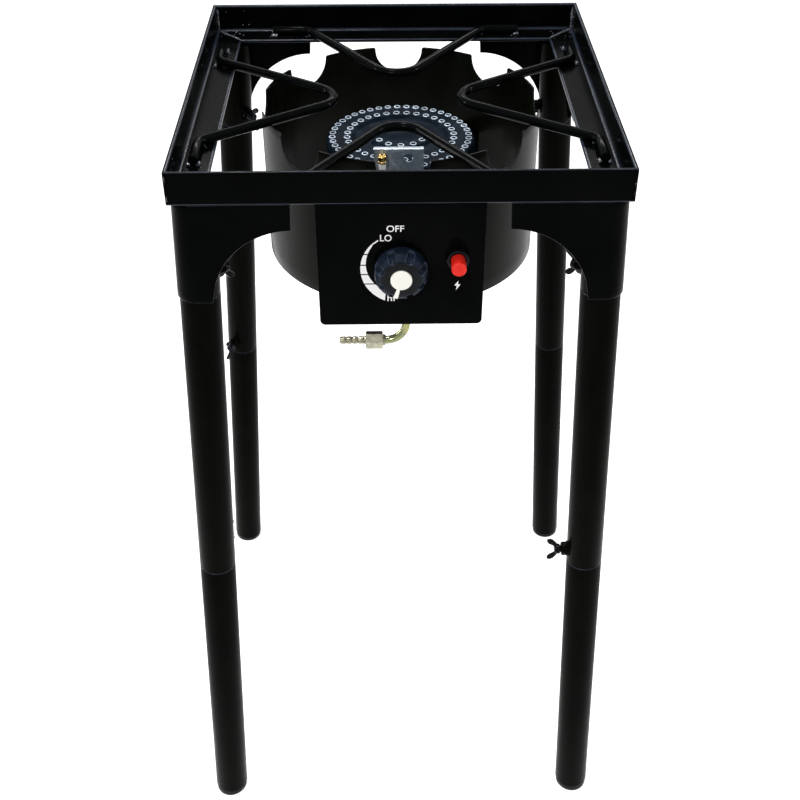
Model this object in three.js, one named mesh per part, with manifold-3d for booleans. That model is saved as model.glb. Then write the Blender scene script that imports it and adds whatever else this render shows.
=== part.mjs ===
// High-leg propane burner stand of a turkey fryer kit.
//
// A square angle-iron frame carries four bent-rod pot supports.  A scalloped
// windscreen hangs under the supports round a cast burner.  Four sectional legs
// plug into sockets at the corners and are held by wing screws.  A control panel
// at the front holds the gas valve, its knob and a piezo igniter, and the gas
// enters through a bent pipe with a hose barb below the panel.
//
// Millimetres, +Z up, the front faces -Y.  The origin is on the floor, in the
// middle of the four feet.

import * as THREE from 'three';
import { mergeVertices } from 'three/addons/utils/BufferGeometryUtils.js';
import Module from 'manifold-3d';

const wasm = await Module();
wasm.setup();

// ---------------------------------------------------------------- dimensions

const HEIGHT = 838.2; // floor to the frame's top edge
const FRAME_SIDE = 406.4; // outside of the square frame
const SEAT = 0.3; // gap left where two pieces rest on each other

// angle-iron rails
const ANGLE_HEIGHT = 31.75;
const ANGLE_WIDTH = 31.75;
const ANGLE_WALL = 3.2;

// bent-rod pot supports
const ROD_DIAMETER = 9.5;
const ROD_APEX_REACH = 64; // frame centre to the rod's axis at the apex
const ROD_APEX_RADIUS = 25.6;
const ROD_LEG_SLOPE = 0.67; // sideways travel per unit towards the rail
const ROD_BEND_RADIUS = 15;
const SIDE_ROD_SHIFT = 3; // the left and right rods sit this far back
const ROD_END = 137; // how far a rod's ends run towards the corners
const ROD_FROM_EDGE = 15.7; // rod's axis to the frame's outside, on the rail

// windscreen
const SCREEN_RADIUS = 140;
const SCREEN_WALL = 1.5;
const SCREEN_HEIGHT = 157;
const SCALLOP_COUNT = 8;
const SCALLOP_RADIUS = 27.5;
const SCREEN_PORT_RADIUS = 30; // hole for the mixing tube and the igniter lead
const BURNER_X = 3; // the burner's axis lies a little right of the frame's centre
const BURNER_Y = 10; // and a little behind it

// burner castings
const CAP_RADIUS = 76.5;
const CAP_THICKNESS = 12;
const BOWL_RADIUS = 72;
const BOWL_FLOOR_RADIUS = 30;
const BOWL_OVER_TUBE = 0.7; // mixing tube's top to the bowl's rim
const BOWL_UNDER_TUBE = 1.3; // mixing tube's underside to the bowl's floor
const BOWL_WALL = 4;
const MIXING_RADIUS = 16;
const MIXING_WALL = 3.5;
const MIXING_MOUTH_Y = -150;

// burner crossbar and its bolt
const CROSSBAR_WIDTH = 25;
const CROSSBAR_THICKNESS = 3;
const CROSSBAR_TAB = 46; // how far its ends hang down inside the windscreen
const CROSSBAR_BEARING = 236; // degrees from +X, seen from above
const TAB_SCREW_DROP = 35.4; // crossbar's top to the screws through the tabs
const TAB_SCREW_RADIUS = 2.5;
const TAB_SCREW_HEAD_RADIUS = 5;
const TAB_SCREW_HEAD_HEIGHT = 3;
const TAB_SCREW_LENGTH = 10;
const BOLT_DIAMETER = 8;
const BOLT_CLEARANCE = 0.3;
const BOLT_HEAD_ACROSS = 13;
const BOLT_HEAD_HEIGHT = 5.3;
const BOLT_GRIP = 3.4; // how far the bolt reaches into the bowl's floor

// air shutter, a slotted collar on the mixing tube's mouth
const SHUTTER_LENGTH = 14;
const SHUTTER_WALL = 1.2;
const SHUTTER_CLEARANCE = 0.3;
const SHUTTER_TURN_SLOTS = 3;
const SHUTTER_SLOT_WIDTH = 8;
const SHUTTER_SLOT_LENGTH = 7;

// legs: socket, middle leg and lower leg on one splayed axis
const LEG_RADIUS = 19;
const LEG_WALL = 1.5;
const LEG_SIDES = 20; // facets of the round leg pieces
const LEG_FIT = 0.4; // radial clearance of a neck in its bore
// sideways travel of a leg per unit of drop; the plugged legs have settled unequally
const FRONT_SPLAY_X = 0.04;
const BACK_SPLAY_X = 0.062;
const LEG_SPLAY_Y = 0.055;
const SOCKET_DROP = 97.45; // frame's underside to the seam below the socket
const MIDDLE_DROP = 432.95; // frame's underside to the seam below the middle leg
const NECK_LENGTH = 40;
const NECK_BLEND = 4; // taper behind a neck's shoulder
const LOWER_END = 7; // height of the lower tube's end over the floor
const PLUG_DEPTH = 18;
const PLUG_RIM = 0.8; // the foot plug's edge is this much inside the tube

// formed corner brackets round the sockets
const BRACKET_WALL = 1.5;
const BRACKET_INSET = 0.7; // its top edge lies this far inside the frame's outside
const BRACKET_REACH = 96; // frame centre to the bracket's free end
const BRACKET_END_HEIGHT = 25;
const BRACKET_SWEEP = 71; // width of the round cut in each arm

// wing screws and their weld nuts
const SCREW_RADIUS = 4;
const SCREW_BORE_CLEARANCE = 0.3;
const SCREW_ABOVE_SEAM = 15;
const WELD_NUT_ACROSS = 13;
const WELD_NUT_HEIGHT = 6.5;
const WELD_SINK = 1.2; // how deep a weld nut's foot reaches into the tube wall
const SCREW_GRIP = 0.2; // gap from the screw's tip to the neck it clamps
const SCREW_HUB_RADIUS = 5.5;
const SCREW_HUB_LENGTH = 6;
const SCREW_NECK_GAP = 1.5; // weld nut to hub
const WING_SPAN = 28;
const WING_RISE = 8;
const WING_THICKNESS = 2.4;

// control panel
const PANEL_WIDTH = 150;
const PANEL_HEIGHT = 125;
const PANEL_WALL = 1.5;
const PANEL_LIP = 22;
const PANEL_CORNER = 5;
const KNOB_DROP = 97; // frame top to the knob's axis, also the mixing tube's
const PANEL_HOLE_CLEARANCE = 0.3;

// valve and stem
const BUSH_RADIUS = 6;
const BUSH_PROUD = 5.2;
const VALVE_RADIUS = 13;
const VALVE_LENGTH = 36;
const VALVE_BORE_DEPTH = 18;
const STEM_RADIUS = 3;
const STEM_CLEARANCE = 0.1;
const STEM_PROUD = 14; // panel face to the stem's end
const NOZZLE_RADIUS = 4;
const NOZZLE_HEX_ACROSS = 12;
const NOZZLE_HEX_LENGTH = 6;
const NOZZLE_THREAD_RADIUS = 3;
const NOZZLE_THREAD_DEPTH = 5;
const INLET_X = 5;
const INLET_BACK = 18; // behind the panel's face
const INLET_BOSS_RADIUS = 7;
const INLET_BOSS_DROP = 24; // below the knob's axis
const INLET_SOCKET_DEPTH = 6;

// knob and its cap
const KNOB_BASE_RADIUS = 24.25;
const KNOB_FACE_RADIUS = 20;
const KNOB_GAP = 2;
const KNOB_HEIGHT = 17;
const KNOB_RECESS_RADIUS = 13;
const KNOB_RECESS_DEPTH = 6;
const KNOB_FLUTES = 8;
const FLUTE_RADIUS = 4;
const CAP_DISC_RADIUS = 9.75;
const CAP_DISC_HEIGHT = 2.6;
const CAP_RECESS = 1.2;

// piezo igniter
const IGNITER_X = 51;
const IGNITER_RISE = 10.5; // above the knob's axis
const IGNITER_BODY_RADIUS = 8.2;
const IGNITER_BODY_LENGTH = 44;
const BEZEL_RADIUS = 10;
const BEZEL_HEIGHT = 5;
const BUTTON_RADIUS = 6.75;
const BUTTON_CLEARANCE = 0.3;
const BUTTON_PROUD = 20; // panel face to the button's end
const BUTTON_TRAVEL = 5;
const BUTTON_LENGTH = 20;
const TERMINAL_RADIUS = 2.2;
const TERMINAL_LENGTH = 6;

// igniter bracket, electrode and lead
const PLATE_WIDTH = 48;
const PLATE_WALL = 1.5;
const PLATE_TOP_RISE = 25; // port face to the plate's top edge
const PLATE_FOOT_DROP = 24; // port face to the plate's foot
const PLATE_GAP = 7; // burner cap's edge to the plate
const PLATE_LIP = 6;
const PLATE_HOLE_X = 9.5;
const PLATE_HOLE_RISE = 16; // above the port face
const PLATE_HOLE_RADIUS = 4.5;
const PLATE_SHELF = 10;
const PLATE_SHELF_DROP = 6; // below the port face
const PLATE_SHELF_REACH = 8; // how far the shelf runs past the electrode's axis
const ELECTRODE_X = -16;
const CERAMIC_RADIUS = 3.5;
const CERAMIC_TOP_RISE = 13; // above the port face
const CERAMIC_FOOT_DROP = 16; // below the port face
const CERAMIC_COLLAR = 1;
const FERRULE_RADIUS = 4.2;
const FERRULE_HEIGHT = 9;
const PIN_RADIUS = 1;
const LEAD_RADIUS = 1.4;
const LEAD_CROSSING_Y = -140; // the lead crosses over between windscreen and panel here

// gas inlet
const PIPE_RADIUS = 4;
const PIPE_BORE = 2.5;
const PIPE_BEND_RADIUS = 19;
const PIPE_DROP = 90; // knob's axis to the axis of the pipe's level run
const FLARE_NUT_ACROSS = 15;
const FLARE_NUT_LENGTH = 16.5;
const FLARE_NUT_X = -17; // the end that the pipe enters
const FLARE_FIT = 0.3;
const PIPE_ENTRY = 7; // how far the pipe reaches into the nut
const BARB_LENGTH = 25; // outside the nut
const BARB_ENTRY = 8;
const BARB_RADIUS = 3;
const BARB_RIDGE = 0.85;
const BARB_RIDGES = 4;
const BARB_BORE = 1.8;

// ------------------------------------------------------- derived places

const HALF_FRAME = FRAME_SIDE / 2;
const FRAME_UNDERSIDE = HEIGHT - ANGLE_HEIGHT;
const FLANGE_TOP = FRAME_UNDERSIDE + ANGLE_WALL;
const ROD_Z = FLANGE_TOP + SEAT + ROD_DIAMETER / 2;
const SCREEN_TOP = ROD_Z - ROD_DIAMETER / 2 - SEAT;
const SCREEN_BOTTOM = SCREEN_TOP - SCREEN_HEIGHT;
const AXIS_Z = HEIGHT - KNOB_DROP;
const PANEL_FACE_Y = -HALF_FRAME;
const PANEL_BACK_Y = PANEL_FACE_Y + PANEL_WALL;
const BOWL_TOP_Z = AXIS_Z + MIXING_RADIUS + BOWL_OVER_TUBE;
const BOWL_FLOOR_Z = AXIS_Z - MIXING_RADIUS - BOWL_UNDER_TUBE;
const CAP_UNDERSIDE_Z = BOWL_TOP_Z + SEAT;
const PORT_FACE_Z = CAP_UNDERSIDE_Z + CAP_THICKNESS;
const CROSSBAR_TOP_Z = BOWL_FLOOR_Z - SEAT;
const TAB_SCREW_Z = CROSSBAR_TOP_Z - TAB_SCREW_DROP;
const PLATE_Y = BURNER_Y - CAP_RADIUS - PLATE_GAP;
const SHELF_TOP_Z = PORT_FACE_Z - PLATE_SHELF_DROP;
const CERAMIC_TOP_Z = PORT_FACE_Z + CERAMIC_TOP_RISE;
const CERAMIC_FOOT_Z = PORT_FACE_Z - CERAMIC_FOOT_DROP;
const SOCKET_FOOT = FRAME_UNDERSIDE - SOCKET_DROP;
const MIDDLE_FOOT = FRAME_UNDERSIDE - MIDDLE_DROP;
const SCREEN_INSIDE = SCREEN_RADIUS - SCREEN_WALL;
const NECK_RADIUS = LEG_RADIUS - LEG_WALL - LEG_FIT;
const BRACKET_OUTSIDE = HALF_FRAME - BRACKET_INSET;
const LEG_OFFSET = BRACKET_OUTSIDE - BRACKET_WALL - SEAT - LEG_RADIUS; // leg axis under the frame
const IGNITER_Z = AXIS_Z + IGNITER_RISE;

// ---------------------------------------------------------------- finishes

function finish(color, roughness, metalness) {
  return () => new THREE.MeshStandardMaterial({ color, roughness, metalness });
}

const powderCoat = finish(0x0b0c0b, 0.28, 0.1);
const castIron = finish(0x1c2126, 0.55, 0.6);
const zinc = finish(0xc3ccd2, 0.3, 0.9);
const yellowZinc = finish(0xb9a85a, 0.3, 0.9);
const brass = finish(0xc79a45, 0.3, 0.95);
const steel = finish(0xb8b8b4, 0.3, 0.95);
const blackPlastic = finish(0x141618, 0.45, 0.0);
const knobPlastic = finish(0x232b38, 0.4, 0.0);
const whitePlastic = finish(0xf0efe6, 0.5, 0.0);
const redPlastic = finish(0xe33a36, 0.4, 0.0);
const ceramic = finish(0xf3f1ea, 0.35, 0.0);
const leadSleeve = finish(0x1a1a1a, 0.6, 0.0);

// ---------------------------------------------------------------- helpers

const UP = new THREE.Vector3(0, 0, 1);
const group = new THREE.Group();

function place(name, geometry, material, position = new THREE.Vector3(), turn = null) {
  const mesh = new THREE.Mesh(geometry, material());
  mesh.name = name;
  mesh.position.copy(position);
  if (turn) {
    mesh.quaternion.copy(turn);
  }
  group.add(mesh);
  return mesh;
}

function toSolid(geometry) {
  const bare = geometry.clone();
  bare.deleteAttribute('normal');
  bare.deleteAttribute('uv');
  const merged = mergeVertices(bare, 1e-4);
  const vertProperties = Float32Array.from(merged.attributes.position.array);
  const triVerts = Uint32Array.from(merged.index.array);
  return new wasm.Manifold(new wasm.Mesh({ numProp: 3, vertProperties, triVerts }));
}

function toGeometry(solid) {
  const mesh = solid.getMesh();
  const geometry = new THREE.BufferGeometry();
  geometry.setAttribute('position', new THREE.BufferAttribute(mesh.vertProperties.slice(), 3));
  geometry.setIndex(new THREE.BufferAttribute(mesh.triVerts.slice(), 1));
  geometry.computeVertexNormals();
  return geometry;
}

function join(...geometries) {
  return toGeometry(geometries.map(toSolid).reduce((all, one) => all.add(one)));
}

function cut(base, ...cutters) {
  return toGeometry(cutters.map(toSolid).reduce((all, one) => all.subtract(one), toSolid(base)));
}

// A closed ring or solid of revolution about +Z; profile is a list of [radius, height].
function turned(profile, segments = 24) {
  const points = profile.map(([r, z]) => new THREE.Vector2(r, z));
  const geometry = new THREE.LatheGeometry(points, segments);
  geometry.rotateX(Math.PI / 2);
  return geometry;
}

function ringProfile(inner, outer, low, high) {
  return [[inner, low], [outer, low], [outer, high], [inner, high], [inner, low]];
}

function discProfile(radius, low, high) {
  return [[0, low], [radius, low], [radius, high], [0, high]];
}

// A prism over an outline in the XY plane, from low to high in Z.
function prism(shape, low, high, curveSegments = 12) {
  const geometry = new THREE.ExtrudeGeometry(shape, {
    depth: high - low,
    bevelEnabled: false,
    curveSegments,
  });
  geometry.translate(0, 0, low);
  return geometry;
}

function box(low, high) {
  const size = new THREE.Vector3().subVectors(high, low);
  const geometry = new THREE.BoxGeometry(size.x, size.y, size.z);
  const middle = new THREE.Vector3().addVectors(low, high).multiplyScalar(0.5);
  geometry.translate(middle.x, middle.y, middle.z);
  return geometry;
}

function vec(x, y, z) {
  return new THREE.Vector3(x, y, z);
}

function hexagon(across) {
  const shape = new THREE.Shape();
  const corner = across / 2 / Math.cos(Math.PI / 6);
  for (let i = 0; i < 6; i += 1) {
    const angle = (i * Math.PI) / 3;
    const x = corner * Math.cos(angle);
    const y = corner * Math.sin(angle);
    if (i === 0) {
      shape.moveTo(x, y);
    } else {
      shape.lineTo(x, y);
    }
  }
  shape.closePath();
  return shape;
}

function roundHole(shape, radius) {
  const hole = new THREE.Path();
  hole.absarc(0, 0, radius, 0, 2 * Math.PI, true);
  shape.holes.push(hole);
  return shape;
}

// Turns geometry built along +Z so that it runs along the given direction.
function aim(geometry, direction) {
  const turn = new THREE.Quaternion().setFromUnitVectors(UP, direction.clone().normalize());
  geometry.applyQuaternion(turn);
  return geometry;
}

// Geometry built along +Z, with its base at the origin, laid along -Y from a point.
function forward(geometry, x, y, z) {
  aim(geometry, vec(0, -1, 0));
  geometry.translate(x, y, z);
  return geometry;
}

// A run of points as a curve whose steps fall exactly on the points.
class KnotPath extends THREE.Curve {
  constructor(knots) {
    super();
    this.knots = knots;
  }

  getPoint(t, target = new THREE.Vector3()) {
    const spans = this.knots.length - 1;
    const span = Math.min(Math.floor(t * spans), spans - 1);
    return target.lerpVectors(this.knots[span], this.knots[span + 1], t * spans - span);
  }

  getUtoTmapping(u) {
    return u;
  }
}

// Straight runs through the corners, each corner rounded to its radius in a few chords.
function bentPath(corners, radii, chords) {
  const knots = [corners[0]];
  for (let i = 1; i < corners.length - 1; i += 1) {
    const before = new THREE.Vector3().subVectors(corners[i - 1], corners[i]).normalize();
    const after = new THREE.Vector3().subVectors(corners[i + 1], corners[i]).normalize();
    const half = before.angleTo(after) / 2;
    const radius = radii[i - 1];
    const inward = new THREE.Vector3().addVectors(before, after).normalize();
    const centre = corners[i].clone().addScaledVector(inward, radius / Math.sin(half));
    const across = new THREE.Vector3().subVectors(before, after).normalize();
    const swept = Math.PI / 2 - half;
    for (let step = 0; step <= chords; step += 1) {
      const angle = swept - (2 * swept * step) / chords;
      const knot = centre.clone().addScaledVector(inward, -radius * Math.cos(angle));
      knots.push(knot.addScaledVector(across, radius * Math.sin(angle)));
    }
  }
  knots.push(corners[corners.length - 1]);
  return new KnotPath(knots);
}

// A round bar, or a tube when it has a bore, along a bent path.
function rod(path, radius, sides, bore = 0) {
  const shape = new THREE.Shape();
  shape.absarc(0, 0, radius, 0, 2 * Math.PI, false);
  if (bore > 0) {
    roundHole(shape, bore);
  }
  return new THREE.ExtrudeGeometry(shape, {
    steps: path.knots.length - 1,
    extrudePath: path,
    bevelEnabled: false,
    curveSegments: sides / 2,
  });
}

// ---------------------------------------------------------------- frame

// One rail of the frame along X at the front, its ends mitred at 45 degrees.
function railGeometry() {
  const section = new THREE.Shape();
  section.moveTo(0, 0);
  section.lineTo(ANGLE_WIDTH, 0);
  section.lineTo(ANGLE_WIDTH, ANGLE_WALL);
  section.lineTo(ANGLE_WALL, ANGLE_WALL);
  section.lineTo(ANGLE_WALL, ANGLE_HEIGHT);
  section.lineTo(0, ANGLE_HEIGHT);
  section.closePath();
  const geometry = new THREE.ExtrudeGeometry(section, { depth: 1, bevelEnabled: false });
  const position = geometry.attributes.position;
  for (let i = 0; i < position.count; i += 1) {
    const inward = position.getX(i);
    const up = position.getY(i);
    const side = position.getZ(i) > 0.5 ? 1 : -1;
    const along = side * (HALF_FRAME - inward - SEAT / 2);
    position.setXYZ(i, along, -HALF_FRAME + inward, FRAME_UNDERSIDE + up);
  }
  geometry.computeVertexNormals();
  return geometry;
}

const SIDES = [
  ['front', 0],
  ['right', Math.PI / 2],
  ['back', Math.PI],
  ['left', -Math.PI / 2],
];

function quarterTurn(angle) {
  return new THREE.Quaternion().setFromAxisAngle(UP, angle);
}

function addRails() {
  for (const [side, angle] of SIDES) {
    place(`${side}_rail`, railGeometry(), powderCoat, vec(0, 0, 0), quarterTurn(angle));
  }
}

// ---------------------------------------------------------------- pot supports

// A rod bent to a V: its round apex points at the centre, its ends lie on the rail.
function addPotSupports() {
  const run = HALF_FRAME - ROD_FROM_EDGE;
  const halfAngle = Math.atan(ROD_LEG_SLOPE);
  const tip = ROD_APEX_REACH - ROD_APEX_RADIUS * (1 / Math.sin(halfAngle) - 1);
  const spread = (run - tip) * ROD_LEG_SLOPE;
  const corners = [
    vec(-ROD_END, -run, 0),
    vec(-spread, -run, 0),
    vec(0, -tip, 0),
    vec(spread, -run, 0),
    vec(ROD_END, -run, 0),
  ];
  const path = bentPath(corners, [ROD_BEND_RADIUS, ROD_APEX_RADIUS, ROD_BEND_RADIUS], 4);
  for (const [side, angle] of SIDES) {
    const shift = side === 'left' || side === 'right' ? SIDE_ROD_SHIFT : 0;
    const geometry = rod(path, ROD_DIAMETER / 2, 12);
    place(`${side}_pot_support`, geometry, powderCoat, vec(0, shift, ROD_Z), quarterTurn(angle));
  }
}

// ---------------------------------------------------------------- windscreen

function addWindscreen() {
  const wall = turned(ringProfile(SCREEN_INSIDE, SCREEN_RADIUS, SCREEN_BOTTOM, SCREEN_TOP), 64);
  const cutters = [];
  for (let i = 0; i < SCALLOP_COUNT; i += 1) {
    const angle = (i * 2 * Math.PI) / SCALLOP_COUNT;
    const scallop = turned(discProfile(SCALLOP_RADIUS, SCREEN_RADIUS / 2, SCREEN_RADIUS * 1.2), 20);
    aim(scallop, vec(Math.cos(angle), Math.sin(angle), 0));
    scallop.translate(0, 0, SCREEN_TOP);
    cutters.push(scallop);
  }
  const port = turned(discProfile(SCREEN_PORT_RADIUS, SCREEN_RADIUS / 2, SCREEN_RADIUS * 1.2), 20);
  cutters.push(forward(port, -BURNER_X, 0, AXIS_Z));
  cutters.push(tabScrewHole(0), tabScrewHole(Math.PI));
  place('windscreen', cut(wall, ...cutters), powderCoat, vec(BURNER_X, BURNER_Y, 0));
}

// ---------------------------------------------------------------- burner

// The port plate: a stepped disc with a trough between its outer and inner ports.
function addBurnerCap() {
  const profile = [
    [0, CAP_UNDERSIDE_Z + 6],
    [26, CAP_UNDERSIDE_Z + 6],
    [48, CAP_UNDERSIDE_Z + 3],
    [BOWL_RADIUS - 6, CAP_UNDERSIDE_Z],
    [CAP_RADIUS - 2, CAP_UNDERSIDE_Z],
    [CAP_RADIUS, CAP_UNDERSIDE_Z + 2],
    [CAP_RADIUS, PORT_FACE_Z - 5],
    [CAP_RADIUS - 1, PORT_FACE_Z - 2],
    [CAP_RADIUS - 3.5, PORT_FACE_Z],
    [50, PORT_FACE_Z],
    [46, PORT_FACE_Z - 3],
    [32, PORT_FACE_Z - 3],
    [28, PORT_FACE_Z + 1],
    [0, PORT_FACE_Z + 1],
  ];
  place('burner_cap', turned(profile, 40), castIron, vec(BURNER_X, BURNER_Y, 0));
}

// The bowl and the mixing tube are one casting, hollow from the mouth to the open top.
function addBurnerBody() {
  const outer = turned(
    [
      [0, BOWL_FLOOR_Z],
      [BOWL_FLOOR_RADIUS, BOWL_FLOOR_Z],
      [BOWL_RADIUS, BOWL_TOP_Z - 8],
      [BOWL_RADIUS, BOWL_TOP_Z],
      [0, BOWL_TOP_Z],
    ],
    40,
  );
  const inner = turned(
    [
      [0, BOWL_FLOOR_Z + 2 * BOWL_WALL],
      [BOWL_FLOOR_RADIUS - BOWL_WALL, BOWL_FLOOR_Z + 2 * BOWL_WALL],
      [BOWL_RADIUS - BOWL_WALL, BOWL_TOP_Z - 6],
      [BOWL_RADIUS - BOWL_WALL, BOWL_TOP_Z + 1],
      [0, BOWL_TOP_Z + 1],
    ],
    40,
  );
  const reach = BURNER_Y - MIXING_MOUTH_Y;
  const tube = forward(turned(discProfile(MIXING_RADIUS, 20, reach), 24), -BURNER_X, 0, AXIS_Z);
  const boreProfile = discProfile(MIXING_RADIUS - MIXING_WALL, 10, reach + 1);
  const bore = forward(turned(boreProfile, 24), -BURNER_X, 0, AXIS_Z);
  const thread = turned(
    discProfile(BOLT_DIAMETER / 2 + BOLT_CLEARANCE, BOWL_FLOOR_Z - 1, BOWL_FLOOR_Z + BOLT_GRIP + SEAT),
    12,
  );
  const casting = cut(join(outer, tube), inner, bore, thread);
  place('burner_body', casting, castIron, vec(BURNER_X, BURNER_Y, 0));
}

// The crossbar's own turn about the burner's axis.
function crossbarTurn() {
  return (CROSSBAR_BEARING * Math.PI) / 180;
}

// A hole through the windscreen, or through a tab, at one end of the crossbar.
function tabScrewHole(halfTurn) {
  const hole = turned(
    discProfile(TAB_SCREW_RADIUS + BOLT_CLEARANCE, SCREEN_RADIUS / 2, SCREEN_RADIUS * 1.2),
    10,
  );
  const bearing = crossbarTurn() + halfTurn;
  aim(hole, vec(Math.cos(bearing), Math.sin(bearing), 0));
  hole.translate(0, 0, TAB_SCREW_Z);
  return hole;
}

// A strap under the bowl; its ends are turned down and screwed inside the windscreen.
function addCrossbar() {
  const halfWidth = CROSSBAR_WIDTH / 2;
  const end = Math.sqrt(SCREEN_INSIDE ** 2 - halfWidth ** 2) - SEAT;
  const inner = end - CROSSBAR_THICKNESS;
  const strap = new THREE.Shape();
  strap.moveTo(-end, 0);
  strap.lineTo(-end, -CROSSBAR_TAB);
  strap.lineTo(-inner, -CROSSBAR_TAB);
  strap.lineTo(-inner, -CROSSBAR_THICKNESS);
  strap.lineTo(inner, -CROSSBAR_THICKNESS);
  strap.lineTo(inner, -CROSSBAR_TAB);
  strap.lineTo(end, -CROSSBAR_TAB);
  strap.lineTo(end, 0);
  strap.closePath();
  const bar = prism(strap, -halfWidth, halfWidth);
  bar.rotateX(Math.PI / 2);
  bar.rotateZ(crossbarTurn());
  bar.translate(0, 0, CROSSBAR_TOP_Z);
  const hole = turned(
    discProfile(BOLT_DIAMETER / 2 + BOLT_CLEARANCE, CROSSBAR_TOP_Z - 10, CROSSBAR_TOP_Z + 10),
    12,
  );
  const strapSolid = cut(bar, hole, tabScrewHole(0), tabScrewHole(Math.PI));
  place('burner_crossbar', strapSolid, powderCoat, vec(BURNER_X, BURNER_Y, 0));
}

function addTabScrew(name, halfTurn) {
  const seat = SCREEN_RADIUS + SEAT;
  const screw = turned(
    [
      [0, SCREEN_RADIUS - TAB_SCREW_LENGTH],
      [TAB_SCREW_RADIUS, SCREEN_RADIUS - TAB_SCREW_LENGTH],
      [TAB_SCREW_RADIUS, seat],
      [TAB_SCREW_HEAD_RADIUS, seat],
      [TAB_SCREW_HEAD_RADIUS, seat + TAB_SCREW_HEAD_HEIGHT / 2],
      [TAB_SCREW_HEAD_RADIUS - 2, seat + TAB_SCREW_HEAD_HEIGHT],
      [0, seat + TAB_SCREW_HEAD_HEIGHT],
    ],
    10,
  );
  const bearing = crossbarTurn() + halfTurn;
  aim(screw, vec(Math.cos(bearing), Math.sin(bearing), 0));
  place(name, screw, steel, vec(BURNER_X, BURNER_Y, TAB_SCREW_Z));
}

function addBurnerBolt() {
  const headTop = CROSSBAR_TOP_Z - CROSSBAR_THICKNESS - SEAT;
  const head = prism(hexagon(BOLT_HEAD_ACROSS), headTop - BOLT_HEAD_HEIGHT, headTop);
  const shank = turned(discProfile(BOLT_DIAMETER / 2, headTop - 1, BOWL_FLOOR_Z + BOLT_GRIP), 12);
  place('burner_bolt', join(head, shank), steel, vec(BURNER_X, BURNER_Y, 0));
}

// ---------------------------------------------------------------- air shutter

function addAirShutter() {
  const inner = MIXING_RADIUS + SHUTTER_CLEARANCE;
  const outer = inner + SHUTTER_WALL;
  const collar = turned(ringProfile(inner, outer, 0, SHUTTER_LENGTH), 24);
  const slots = [];
  for (let i = 0; i < SHUTTER_TURN_SLOTS; i += 1) {
    const angle = (i * 2 * Math.PI) / SHUTTER_TURN_SLOTS;
    const half = SHUTTER_SLOT_WIDTH / 2;
    const top = SHUTTER_LENGTH + 1;
    const slot = box(vec(inner - 4, -half, top - SHUTTER_SLOT_LENGTH), vec(outer + 4, half, top));
    slot.rotateZ(angle);
    slots.push(slot);
  }
  const base = MIXING_MOUTH_Y + SHUTTER_LENGTH - 3;
  place('air_shutter', forward(cut(collar, ...slots), 0, 0, 0), zinc, vec(0, base, AXIS_Z));
}

// ---------------------------------------------------------------- legs

const CORNERS = [
  ['front_left', -1, -1],
  ['front_right', 1, -1],
  ['back_left', -1, 1],
  ['back_right', 1, 1],
];

// Sideways travel of the leg at a corner per unit of drop.
function legSplay(sx, sy) {
  return vec(sx * (sy < 0 ? FRONT_SPLAY_X : BACK_SPLAY_X), sy * LEG_SPLAY_Y, 0);
}

// Direction down the leg at a corner.
function legDirection(sx, sy) {
  return legSplay(sx, sy).sub(UP).normalize();
}

// Point on the leg's axis at a height.
function legPoint(sx, sy, z) {
  const under = vec(sx * LEG_OFFSET, sy * LEG_OFFSET, z);
  return under.addScaledVector(legSplay(sx, sy), FRAME_UNDERSIDE - z);
}

// Length along the leg's axis between two heights.
function legLength(sx, sy, high, low) {
  return legPoint(sx, sy, high).distanceTo(legPoint(sx, sy, low));
}

// Bearings of the wing screws, in degrees from +X seen from above: upper, lower.
const SCREW_BEARINGS = {
  front_left: [45, 70],
  front_right: [135, 180],
  back_left: [-45, -115],
  back_right: [180, 108],
};

// Leg pieces are built along +Z, which then points down the leg, with the wing screw along +X.
function legTurn(sx, sy, degrees) {
  const down = legDirection(sx, sy);
  const bearing = (degrees * Math.PI) / 180;
  const across = vec(Math.cos(bearing), Math.sin(bearing), 0);
  across.addScaledVector(down, -across.dot(down)).normalize();
  const third = new THREE.Vector3().crossVectors(down, across);
  const basis = new THREE.Matrix4().makeBasis(across, third, down);
  return new THREE.Quaternion().setFromRotationMatrix(basis);
}

// Joins a weld nut to a tube at a depth along it, and bores both for the screw.
function withWeldNut(tube, depth) {
  const sideways = vec(1, 0, 0);
  const nut = prism(hexagon(WELD_NUT_ACROSS), LEG_RADIUS - WELD_SINK, LEG_RADIUS + WELD_NUT_HEIGHT);
  aim(nut, sideways);
  nut.translate(0, 0, depth);
  const hole = turned(discProfile(SCREW_RADIUS + SCREW_BORE_CLEARANCE, 8, LEG_RADIUS * 2), 12);
  aim(hole, sideways);
  hole.translate(0, 0, depth);
  return cut(join(tube, nut), hole);
}

function addSocket(name, sx, sy) {
  const topHeight = FRAME_UNDERSIDE - SEAT - LEG_RADIUS * legSplay(sx, sy).length();
  const length = legLength(sx, sy, topHeight, SOCKET_FOOT);
  const tube = turned(ringProfile(LEG_RADIUS - LEG_WALL, LEG_RADIUS, 0, length - SEAT), LEG_SIDES);
  const geometry = withWeldNut(tube, length - SCREW_ABOVE_SEAM);
  const turn = legTurn(sx, sy, SCREW_BEARINGS[name][0]);
  place(`${name}_leg_socket`, geometry, powderCoat, legPoint(sx, sy, topHeight), turn);
}

// Tube with a reduced neck above its shoulder; z = 0 is the shoulder.
function neckedTube(length) {
  const bore = LEG_RADIUS - LEG_WALL;
  const neckBore = NECK_RADIUS - LEG_WALL;
  return turned(
    [
      [neckBore, -NECK_LENGTH],
      [NECK_RADIUS, -NECK_LENGTH],
      [NECK_RADIUS, 0],
      [LEG_RADIUS, 0],
      [LEG_RADIUS, length],
      [bore, length],
      [bore, NECK_BLEND],
      [neckBore, LEG_WALL],
      [neckBore, -NECK_LENGTH],
    ],
    LEG_SIDES,
  );
}

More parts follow.
